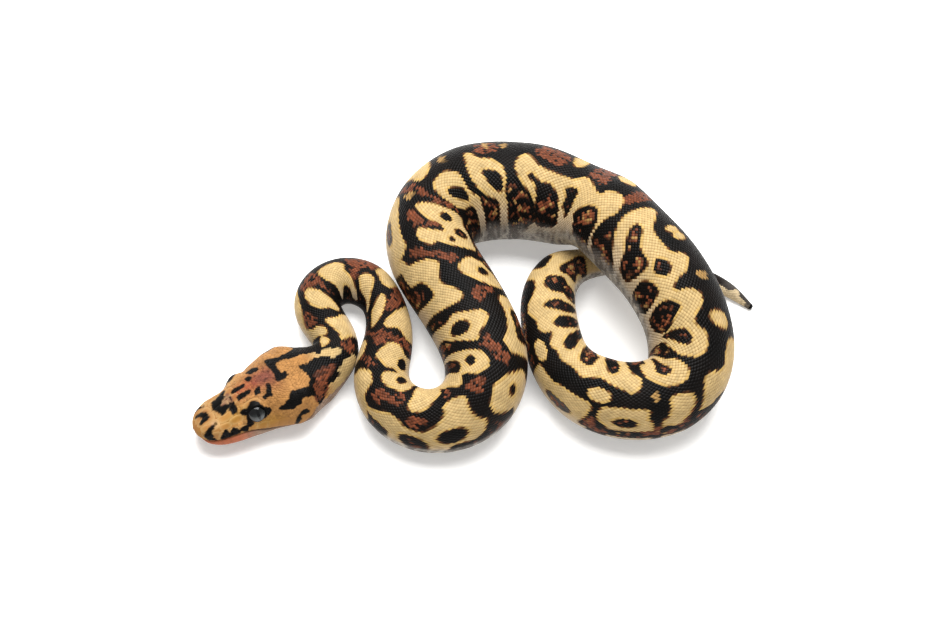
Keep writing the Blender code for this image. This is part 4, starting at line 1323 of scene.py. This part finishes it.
@dataclass
class BellyPlates:
    """Broad plates across the belly, one behind another."""

    shape: BodyShape
    markings: Markings
    start: float = 20.0
    length_key: float = 1.62    # length of a plate where the body's radius is the key radius
    columns: int = 14
    along: Key = (-0.62, -0.2, 0.25, 0.56)      # rows of points, as shares of a plate's length
    height: Key = (-0.20, -0.07, 0.0, -0.02)
    rim: Key = (1.0, 0.0, 0.0, 0.5)             # how much of the seam's colour each row takes

    def places(self) -> Array:
        """Place the plates one behind another.

        Returns:
            Middle and length of every plate.
        """
        rows = []
        place = self.start
        while place < self.shape.length - 1.5:
            length = self.length_key * (float(self.shape.radius(np.array(place))) / KEY_RADIUS) ** 0.45
            rows.append((place + length / 2, length))
            place += length
        return np.array(rows)

    def points(self, places: Array) -> tuple[Array, Array, Array]:
        """Distance, angle and height of every point: a plate's top layer, then its lower one.

        Args:
            places: middle and length of every plate.

        Returns:
            Distances, angles in radians and heights, one row for each plate.
        """
        across = np.linspace(-1, 1, self.columns + 1)
        grid_y, grid_x = np.meshgrid(across, self.along)
        taper = 1 - 0.25 * np.abs(grid_y) ** 3
        distance = places[:, :1] + places[:, 1:] * (grid_x * taper).ravel()
        angle = pi + radians(180 - BELLY_EDGE + 5) * grid_y.ravel()
        angle = np.tile((angle + pi) % (2 * pi) - pi, (len(places), 1))
        rise = np.array(self.height)[:, None] - 0.16 * np.abs(across) ** 6
        rise = np.tile(rise.ravel(), (len(places), 1))
        under = np.full_like(rise, -COAT_DEPTH - 0.1)
        return np.hstack([distance, distance]), np.hstack([angle, angle]), np.hstack([rise, under])

    def faces(self) -> list[list[int]]:
        """Number the corners of one plate's top, underside and walls.

        Returns:
            The faces.
        """
        wide = self.columns + 1
        layer = wide * len(self.along)
        top = [[corner, corner + 1, corner + wide + 1, corner + wide]
               for corner in range(layer - wide) if corner % wide < self.columns]
        below = [[corner + layer for corner in reversed(face)] for face in top]
        rim = [*range(wide), *range(2 * wide - 1, layer, wide),
               *range(layer - 2, layer - wide - 1, -1), *range(layer - 2 * wide, 0, -wide)]
        walls = [[corner, corner + layer, after + layer, after]
                 for corner, after in zip(rim, rim[1:] + rim[:1])]
        return top + below + walls

    def build(self, finish: Finish) -> Piece:
        """Make all the belly plates as one joined mesh.

        Args:
            finish: their material.

        Returns:
            The object.
        """
        places = self.places()
        distance, angle, rise = self.points(places)
        spots = self.shape.surface(distance.ravel(), angle.ravel(), rise.ravel()) * MM
        builder = bmesh.new()
        builder.from_mesh(join_copies("belly_blank", spots.reshape(*distance.shape, 3), self.faces()))
        bmesh.ops.recalc_face_normals(builder, faces=builder.faces)
        mesh = mesh_of(builder, "belly_plates")
        mesh.set_sharp_from_angle(angle=radians(50))
        scale, seam = self.markings.colours(distance.ravel(), np.degrees(angle.ravel()), 0.4)
        wide = self.columns + 1
        rim = np.concatenate([np.repeat(self.rim, wide), np.ones(wide * len(self.along))])
        paint_points(mesh, mix(scale, seam, 0.6 * np.tile(rim, len(places))))
        self.lay_baking_map(mesh, places)
        return link(mesh, finish)

    def lay_baking_map(self, mesh: Mesh, places: Array) -> None:
        """Lay each plate's top and underside as strips across the body's own unwrap.

        Args:
            mesh: the joined mesh.
            places: middle and length of every plate.
        """
        wide = self.columns + 1
        layer = wide * len(self.along)
        number, corner = np.divmod(np.array([loop.vertex_index for loop in mesh.loops]), 2 * layer)
        row, column = np.divmod(corner % layer, wide)
        low, high = places[0, 0], places[-1, 0]
        along = (places[number, 0] - low) / (high - low) * 0.98 + 0.01 + 0.0015 * (row - 1.5) / 1.5 * 0.9
        across = np.where(corner >= layer, 0.78, 0.3) + 0.2 * (column / self.columns - 0.5)
        uv_layer = mesh.uv_layers.new(name="OFBake")
        uv_layer.data.foreach_set("uv", np.stack([along, across], axis=1).reshape(-1).astype(np.float32))


@dataclass
class HeadScales:
    """The fine scales of the crown, cheeks, temples and throat, packed like pebbles."""

    shape: BodyShape
    markings: Markings
    end: float = 28.2
    points: int = 10
    jitter: float = 0.27
    gap: float = -0.055         # rims overlap by this much, so that no skin shows

    PITCH = [(1, 0.80), (6, 0.74), (11, 0.62), (16, 0.58), (28, 0.62)]     # distance, spacing
    LIMIT = [(0, 0.56), (8, 0.52), (14, 0.42)]                             # distance, largest reach

    def middles(self) -> Array:
        """Pack the scales in uneven rows.

        Returns:
            Distance and angle of each scale's middle.
        """
        random = np.random.default_rng(5)
        rows = []
        place, column = 0.9, 0
        while place < self.end:
            pitch = float(np.interp(place, *np.array(self.PITCH).T))
            radius = float(self.shape.radius(np.array(place)))
            count = int(pi * radius / pitch)
            for number in range(-count, count + 1):
                turn = (number + 0.5 * (column % 2)) * pitch / radius
                if abs(turn) < pi - 0.4 * pitch / radius:
                    shift = random.uniform(-self.jitter, self.jitter, 2) * pitch
                    rows.append((place + shift[0], turn + shift[1] / radius))
            place += pitch * 0.86
            column += 1
        rows = np.array(rows)
        return rows[self.is_free(rows)]

    def is_free(self, rows: Array) -> Array:
        """True for places that no large plate, eye or lip covers.

        Args:
            rows: distance and angle of each scale.

        Returns:
            One truth value for each row.
        """
        degrees = np.abs(np.degrees(rows[:, 1]))
        arc = np.radians(1.0) * self.shape.radius(rows[:, 0])
        eye = np.hypot(rows[:, 0] - EYE_PLACE[0], (degrees - EYE_PLACE[1]) * arc) > 2.15
        lips = np.abs(degrees - read_keys(MOUTH_LINE, rows[:, 0])) * arc
        mouth = (lips > 0.5) | (rows[:, 0] > 26)
        plates = self.markings.depth_in(FacePlates.all_outlines(), rows[:, 0], degrees) < -0.30
        belly = (degrees < BELLY_EDGE + 2) | (rows[:, 0] < 20.5)
        return eye & mouth & plates & belly

    def build(self, finish: Finish) -> Piece:
        """Fit each scale's rim halfway to its neighbours.

        Args:
            finish: their material.

        Returns:
            The object.
        """
        middle = self.middles()
        spots = self.shape.point(middle[:, 0], middle[:, 1])
        step = 0.05
        along = (self.shape.point(middle[:, 0] + step, middle[:, 1]) - spots) / step
        across = (self.shape.point(middle[:, 0], middle[:, 1] + step / 5) - spots) / (step / 5)
        stretch = np.stack([np.linalg.norm(along, axis=1), np.linalg.norm(across, axis=1)], axis=1)
        along, across = along / stretch[:, :1], across / stretch[:, 1:]
        turn = np.linspace(0, 2 * pi, self.points, endpoint=False)
        aim = np.stack([np.cos(turn), np.sin(turn)], axis=1)
        reach = np.zeros((len(middle), self.points))
        limit = np.interp(middle[:, 0], *np.array(self.LIMIT).T)
        for number in range(len(middle)):
            offset = spots - spots[number]
            near = np.flatnonzero(np.abs(offset).max(axis=1) < 2.2)
            near = near[near != number]
            flat = np.stack([offset[near] @ along[number], offset[near] @ across[number]], axis=1)
            toward = flat @ aim.T
            half = 0.5 * (flat ** 2).sum(axis=1)[:, None]
            bound = np.where(toward > 1e-3, half / np.maximum(toward, 1e-3), 9.0)
            reach[number] = np.minimum(bound.min(axis=0, initial=9.0), limit[number]) - self.gap
        offset = reach[:, :, None] * aim[None] / stretch[:, None, :]
        batch = PlateBatch(self.shape, self.markings, middle, offset, (0.66, 1.0), (-0.055, -0.060, -0.080),
                           tilt=0.004, per_point=True, unevenness=0.11, seam=0.30)
        return batch.build("head_scales", finish, "head_skin")


class Side(Enum):
    """A side of the animal, as the sign of its angles."""

    LEFT = 1
    RIGHT = -1


@dataclass
class FacePlates:
    """The large smooth plates of the snout and lips."""

    shape: BodyShape
    markings: Markings
    around: int = 32
    snugness: float = 1.08      # plates grow by this share until they nearly touch

    SNOUT = [
        [(1.1, 1.5), (1.2, 22), (2.6, 25), (4.5, 24), (5.0, 12), (4.8, 1.5)],
        [(1.2, 25), (1.1, 50), (2.4, 55), (4.0, 52), (4.9, 44), (4.8, 27), (3.0, 28)],
        [(5.1, 1.5), (5.3, 13), (5.2, 25), (7.0, 27), (8.5, 22), (8.9, 10), (8.6, 1.5)],
        [(5.2, 28), (5.2, 43), (6.6, 46), (8.4, 43), (8.7, 27), (7.0, 30)],
        [(4.5, 50), (5.1, 47), (6.7, 50), (7.2, 62), (6.2, 68), (4.8, 63)],
        [(7.0, 49), (9.0, 46), (10.2, 54), (9.6, 66), (7.6, 63)],
        [(9.2, 2), (9.2, 12), (9.6, 22), (11.2, 20), (11.6, 10), (11.2, 2)],
        [(11.2, 36), (11.0, 45), (12.2, 50), (14.0, 50), (15.0, 44), (14.2, 36), (12.6, 34)],
    ]
    UPPER_LIP = (0.55, 2.0, 3.9, 5.9, 7.9, 9.9, 12.0, 14.2, 16.4, 18.7, 21.2, 23.6, 25.6)
    UPPER_TOP = [(0, 78), (2, 60), (4, 66), (6, 72), (8, 76), (11, 88), (14, 93), (18, 100), (22, 104),
                 (26, 90)]
    LOWER_LIP = (0.6, 2.2, 4.0, 5.8, 7.6, 9.5, 11.4, 13.4, 15.5, 17.8, 20.2, 22.6, 25.2)
    RINGS = (0.2, 0.4, 0.6, 0.78, 0.9, 0.965, 1.0)
    RISE = (0.0, 0.0, -0.005, -0.015, -0.03, -0.055, -0.085, -0.14)

    @classmethod
    def all_outlines(cls) -> list[Outline]:
        """Draw every plate of the left side.

        Returns:
            Outlines over distance and degrees.
        """
        outlines = list(cls.SNOUT)
        slant = 0.35
        for first, last in zip(cls.UPPER_LIP, cls.UPPER_LIP[1:]):
            ends = np.array([first + 0.08, last - 0.08])
            top, low = read_keys(cls.UPPER_TOP, ends), read_keys(MOUTH_LINE, ends) - 2.0
            half = (top + low) / 2
            outlines.append([(ends[0] + slant, top[0]), ((ends[0] + ends[1]) / 2 + slant, top.mean() - 2),
                             (ends[1] + slant, top[1]), (ends[1] + 0.05, half[1]), (ends[1] - slant, low[1]),
                             (ends[0] - slant + 0.1, low[0]), (ends[0], half[0])])
        for first, last in zip(cls.LOWER_LIP, cls.LOWER_LIP[1:]):
            ends = np.array([first + 0.08, last - 0.08])
            top = read_keys(MOUTH_LINE, ends) + 3.0
            low = top + np.interp(ends, [0, 6, 26], [26, 18, 12])
            half = (top + low) / 2
            outlines.append([(ends[0], top[0]), (ends[1], top[1]), (ends[1] + 0.2, half[1]),
                             (ends[1] + 0.1, low[1]), (ends[0] + 0.1, low[0]), (ends[0] - 0.1, half[0])])
        return outlines

    def rim(self, outline: Outline) -> Array:
        """Evenly spaced points round a plate as distance and angle in radians, anticlockwise.

        Args:
            outline: corners of the plate over distance and degrees.

        Returns:
            The points, one row each.
        """
        curve = round_outline(outline, 8)
        closed = np.vstack([curve, curve[:1]])
        gaps = np.linalg.norm(np.diff(closed * [1, 0.1], axis=0), axis=1)
        walked = np.concatenate([[0], np.cumsum(gaps)])
        even = np.linspace(0, walked[-1], self.around, endpoint=False)
        rim = np.stack([np.interp(even, walked, closed[:, axis]) for axis in (0, 1)], axis=1)
        rim[:, 1] = np.radians(rim[:, 1])
        centre = rim.mean(axis=0)
        area = np.cross(rim - centre, np.roll(rim, -1, axis=0) - centre).sum()
        return rim if area > 0 else rim[::-1]

    def build(self, finish: Finish) -> Piece:
        """Make the plates of both sides.

        Args:
            finish: their material.

        Returns:
            The object.
        """
        middle, reach = [], []
        for outline in self.all_outlines():
            rim = self.rim(outline)
            centre = rim.mean(axis=0)
            for side in Side:
                turned = (rim * [1, side.value])[::side.value]
                middle.append(centre * [1, side.value])
                reach.append(self.snugness * (turned - centre * [1, side.value]))
        batch = PlateBatch(self.shape, self.markings, np.array(middle), np.array(reach), self.RINGS,
                           self.RISE, patch=0.02, per_point=True, unevenness=0.03, seam=0.45)
        return batch.build("face_plates", finish, "head_skin")


@dataclass
class Eye:
    """A ball under its clear scale: dark iris, upright slit pupil, high gloss."""

    shape: BodyShape
    side: Side
    rings: int = 72

    def axes(self) -> tuple[Array, Array, Array]:
        """Aim the eye outward and a little forward.

        Returns:
            The ball's third, crownward and outward directions.
        """
        place, turn = EYE_PLACE[0], radians(EYE_PLACE[1]) * self.side.value
        lean = radians(HEAD_LEAN)
        tail = np.array([float(self.shape.at("tail_x", place)), float(self.shape.at("tail_y", place)), 0.0])
        left = np.array([tail[1], -tail[0], 0.0])
        up = np.array([0.0, 0.0, 1.0])
        side_way = left * cos(lean) + up * sin(lean)
        up_way = up * cos(lean) - left * sin(lean)
        outward = side_way * sin(turn) + up_way * cos(turn) - tail * 0.10
        outward /= np.linalg.norm(outward)
        crown = up_way - outward * (up_way @ outward)
        crown /= np.linalg.norm(crown)
        return np.cross(crown, outward), crown, outward

    def build(self, finish: Finish) -> Piece:
        """Turn a ball so that its pole looks out, and paint the iris round it.

        Args:
            finish: its material.

        Returns:
            The object, which replaces the eye of this side.
        """
        node = f"eye_{self.side.name.lower()}"
        low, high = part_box(node)
        centre = np.array((low + high) / 2)
        axes = self.axes()
        radius = EYE_RADIUS * MM
        builder = bmesh.new()
        bmesh.ops.create_uvsphere(builder, u_segments=self.rings, v_segments=self.rings, radius=radius)
        turned = Matrix(axes).transposed().to_4x4()
        bmesh.ops.transform(builder, matrix=Matrix.Translation(centre) @ turned, verts=builder.verts)
        spots = np.array([vert.co[:] for vert in builder.verts]) - centre
        mesh = mesh_of(builder, f"{node}_gloss")
        paint_points(mesh, self.iris(*(spots @ axis / radius for axis in axes)))
        eye = link(mesh, finish)
        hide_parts(node)
        return eye

    def iris(self, across: Array, high: Array, out: Array) -> Array:
        """Colours over the ball from its own axes, each between -1 and 1.

        Args:
            across: place along the third axis.
            high: place towards the crown.
            out: place along the line of sight.

        Returns:
            One linear colour for each point.
        """
        turn = np.arctan2(across, high)
        streak = 0.5 + 0.5 * np.sin(turn * 37) * np.sin(turn * 11)
        pupil = np.hypot(across / 0.15, (high + 0.08) / 0.55)
        colour = mix(to_linear("#232525"), to_linear("#3b3e3e"), 0.5 * streak)
        for code, share in (("#5c6060", 0.7 * bell(high, -0.45, 0.20) * bell(across, 0.0, 0.5)),
                            ("#0c0d0d", smooth_step(high, -0.2, 0.25)),
                            ("#0c0c0d", smooth_step(np.hypot(across, high), 0.64, 0.84)),
                            ("#050506", smooth_step(pupil, 1.15, 0.85)),
                            ("#0b0b0c", smooth_step(out, 0.1, -0.1))):
            colour = mix(colour, to_linear(code), share)
        return colour


def add_node(tree: Tree, kind: str, settings: dict | None = None,
             inputs: dict | None = None) -> Node:
    """Add a node with its settings, values and links.

    Args:
        tree: the node tree to add to.
        kind: the node's type name.
        settings: properties to set on the node.
        inputs: value, or output socket to link from, for each named or numbered input.

    Returns:
        The new node.
    """
    node = tree.nodes.new(kind)
    for name, value in (settings or {}).items():
        setattr(node, name, value)
    for name, value in (inputs or {}).items():
        if isinstance(value, bpy.types.NodeSocket):
            tree.links.new(value, node.inputs[name])
        else:
            node.inputs[name].default_value = value
    return node


def new_material(name: str) -> tuple[Finish, Tree, Node]:
    """Start a node material.

    Args:
        name: name of the material.

    Returns:
        The material, its tree and its shader.
    """
    material = bpy.data.materials.new(name)
    material.use_nodes = True
    tree = material.node_tree
    return material, tree, tree.nodes["Principled BSDF"]


@dataclass(frozen=True)
class ScaleKeratin:
    """Living snake scale: smooth keratin over pigment, softly glossy with a fine grain."""

    name: str
    roughness_low: float = 0.27
    roughness_high: float = 0.36
    ior: float = 1.54           # keratin
    gloss: float = 0.05         # the fine ridges of each scale scatter part of the mirror light
    grain: float = 0.16         # width of the grain in millimetres, coarser than life so that it shows
    grain_tone: Key = (0.93, 1.06)      # how much the grain darkens and lightens the pigment
    cloud: float = 3.5          # width of the broad uneven tones in millimetres
    cloud_tone: Key = (0.88, 1.10)
    bump: float = 0.25
    bump_depth: float = 0.012   # millimetres

    def make(self) -> Finish:
        """Build the material from the painted markings and the grain.

        Returns:
            The material.
        """
        material, tree, shader = new_material(self.name)
        pigment = add_node(tree, "ShaderNodeVertexColor", {"layer_name": "Markings"})
        place = add_node(tree, "ShaderNodeTexCoord")
        grain = add_node(tree, "ShaderNodeTexNoise", None,
                         {"Vector": place.outputs["Object"], "Scale": 1 / (self.grain * MM),
                          "Detail": 2.0, "Roughness": 0.6})
        cloud = add_node(tree, "ShaderNodeTexNoise", None,
                         {"Vector": place.outputs["Object"], "Scale": 1 / (self.cloud * MM), "Detail": 3.0})
        shade, fine, rough = (
            add_node(tree, "ShaderNodeMapRange", None,
                     {"Value": noise.outputs["Fac"], "From Min": 0.3, "From Max": 0.7,
                      "To Min": low, "To Max": high})
            for noise, low, high in ((cloud, *self.cloud_tone), (grain, *self.grain_tone),
                                     (grain, self.roughness_low, self.roughness_high)))
        both = add_node(tree, "ShaderNodeMath", {"operation": "MULTIPLY"},
                        {0: shade.outputs["Result"], 1: fine.outputs["Result"]})
        colour = add_node(tree, "ShaderNodeVectorMath", {"operation": "SCALE"},
                          {0: pigment.outputs["Color"], "Scale": both.outputs["Value"]})
        bump = add_node(tree, "ShaderNodeBump", None,
                        {"Strength": self.bump, "Distance": self.bump_depth * MM,
                         "Height": grain.outputs["Fac"]})
        tree.links.new(colour.outputs["Vector"], shader.inputs["Base Color"])
        tree.links.new(rough.outputs["Result"], shader.inputs["Roughness"])
        tree.links.new(bump.outputs["Normal"], shader.inputs["Normal"])
        shader.inputs["IOR"].default_value = self.ior
        shader.inputs["Specular IOR Level"].default_value = self.gloss
        return material


@dataclass(frozen=True)
class WetSpectacle:
    """The clear scale over the eye: glass smooth over the painted iris."""

    name: str = "eye_spectacle"
    roughness: float = 0.05
    ior: float = 1.38           # tear film and clear scale
    ripple: float = 0.5         # width of the film's ripple in millimetres

    def make(self) -> Finish:
        """Build the material from the painted iris, with a faint tear film ripple.

        Returns:
            The material.
        """
        material, tree, shader = new_material(self.name)
        iris = add_node(tree, "ShaderNodeVertexColor", {"layer_name": "Markings"})
        place = add_node(tree, "ShaderNodeTexCoord")
        film = add_node(tree, "ShaderNodeTexNoise", None,
                        {"Vector": place.outputs["Object"], "Scale": 1 / (self.ripple * MM), "Detail": 2.0})
        shade = add_node(tree, "ShaderNodeMapRange", None,
                         {"Value": film.outputs["Fac"], "To Min": 0.85, "To Max": 1.15})
        colour = add_node(tree, "ShaderNodeVectorMath", {"operation": "SCALE"},
                          {0: iris.outputs["Color"], "Scale": shade.outputs["Result"]})
        tree.links.new(colour.outputs["Vector"], shader.inputs["Base Color"])
        shader.inputs["Roughness"].default_value = self.roughness
        shader.inputs["IOR"].default_value = self.ior
        return material


@dataclass(frozen=True)
class PaleFloor:
    """Plain matt white board, lit a little from below as on a light table."""

    colour: str = "#f6f5f3"
    roughness: float = 0.9
    half_width: float = 3.0     # metres
    glow: float = 0.25

    def build(self) -> Piece:
        """Lay the board at the animal's resting height.

        Returns:
            The board.
        """
        material, tree, shader = new_material("studio_board")
        place = add_node(tree, "ShaderNodeTexCoord")
        grain = add_node(tree, "ShaderNodeTexNoise", None,
                         {"Vector": place.outputs["Object"], "Scale": 60.0, "Detail": 2.0})
        base = to_linear(self.colour)
        colour = add_node(tree, "ShaderNodeMix", {"data_type": "RGBA"},
                          {"Factor": grain.outputs["Fac"], "A": (*base * 0.985, 1.0), "B": (*base, 1.0)})
        tree.links.new(colour.outputs["Result"], shader.inputs["Base Color"])
        shader.inputs["Roughness"].default_value = self.roughness
        shader.inputs["Emission Color"].default_value = (1.0, 1.0, 1.0, 1.0)
        shader.inputs["Emission Strength"].default_value = self.glow
        builder = bmesh.new()
        bmesh.ops.create_grid(builder, x_segments=1, y_segments=1, size=self.half_width)
        mesh = mesh_of(builder, "floor")
        mesh.materials.append(material)
        floor = bpy.data.objects.new("floor", mesh)
        bpy.context.scene.collection.objects.link(floor)
        return floor


@dataclass(frozen=True)
class StudioLight:
    """A square softbox aimed at the animal."""

    name: str
    place: tuple[float, float, float]
    power: float
    size: float                 # metres; a larger one throws a softer shadow

    def build(self) -> None:
        """Hang the light and turn it to the middle of the coils."""
        lamp = bpy.data.lights.new(self.name, "AREA")
        lamp.energy = self.power
        lamp.size = self.size
        holder = bpy.data.objects.new(self.name, lamp)
        holder.location = self.place
        aim = Vector((0.0, 0.0, 0.01)) - Vector(self.place)
        holder.rotation_euler = aim.to_track_quat("-Z", "Y").to_euler()
        bpy.context.scene.collection.objects.link(holder)


@dataclass(frozen=True)
class Studio:
    """White room, softbox and the camera above the coils."""

    elevation: float = 58.0     # degrees from the floor up to the camera
    lens: float = 85.0
    sensor: float = 36.0
    reach: float = 0.5133       # metres from the aim to the camera
    aim: tuple[float, float, float] = (-BOX_CENTRE[0] * MM, -BOX_CENTRE[1] * MM, 0.0)
    room: float = 0.50          # strength of the white room's light
    key: StudioLight = StudioLight("key_softbox", (0.04, 0.22, 0.56), 8.9, 0.55)

    def build(self) -> None:
        """Set the camera, the room's light, the softbox and the floor."""
        scene = bpy.context.scene
        scene.view_settings.view_transform = "Standard"
        camera = bpy.data.cameras.new("camera")
        camera.lens, camera.sensor_width = self.lens, self.sensor
        camera.clip_start, camera.clip_end = 0.01, 20.0
        holder = bpy.data.objects.new("camera", camera)
        rise = radians(self.elevation)
        back = Vector((0.0, -cos(rise), sin(rise)))
        holder.location = Vector(self.aim) + back * self.reach
        holder.rotation_euler = (pi / 2 - rise, 0.0, 0.0)
        scene.collection.objects.link(holder)
        scene.camera = holder
        world = bpy.data.worlds.new("white_room")
        world.use_nodes = True
        background = world.node_tree.nodes["Background"]
        background.inputs["Color"].default_value = (1.0, 1.0, 1.0, 1.0)
        background.inputs["Strength"].default_value = self.room
        scene.world = world
        self.key.build()
        PaleFloor().build()


def main() -> None:
    """Build the studio and every piece of the python's looks."""
    logging.basicConfig(level=logging.INFO, format="%(message)s")
    Studio().build()
    shape = BodyShape()
    markings = Markings(shape)
    body_keratin = ScaleKeratin("body_keratin").make()
    head_keratin = ScaleKeratin("head_keratin", 0.36, 0.48).make()
    Skin(shape, markings).build(ScaleKeratin("soft_skin", 0.50, 0.62, bump=0.35).make())
    BodyScales(shape, markings).build(body_keratin)
    BellyPlates(shape, markings).build(body_keratin)
    HeadScales(shape, markings).build(head_keratin)
    FacePlates(shape, markings).build(head_keratin)
    eye_gloss = WetSpectacle().make()
    for side in Side:
        Eye(shape, side).build(eye_gloss)


if __name__ == "__main__":
    main()
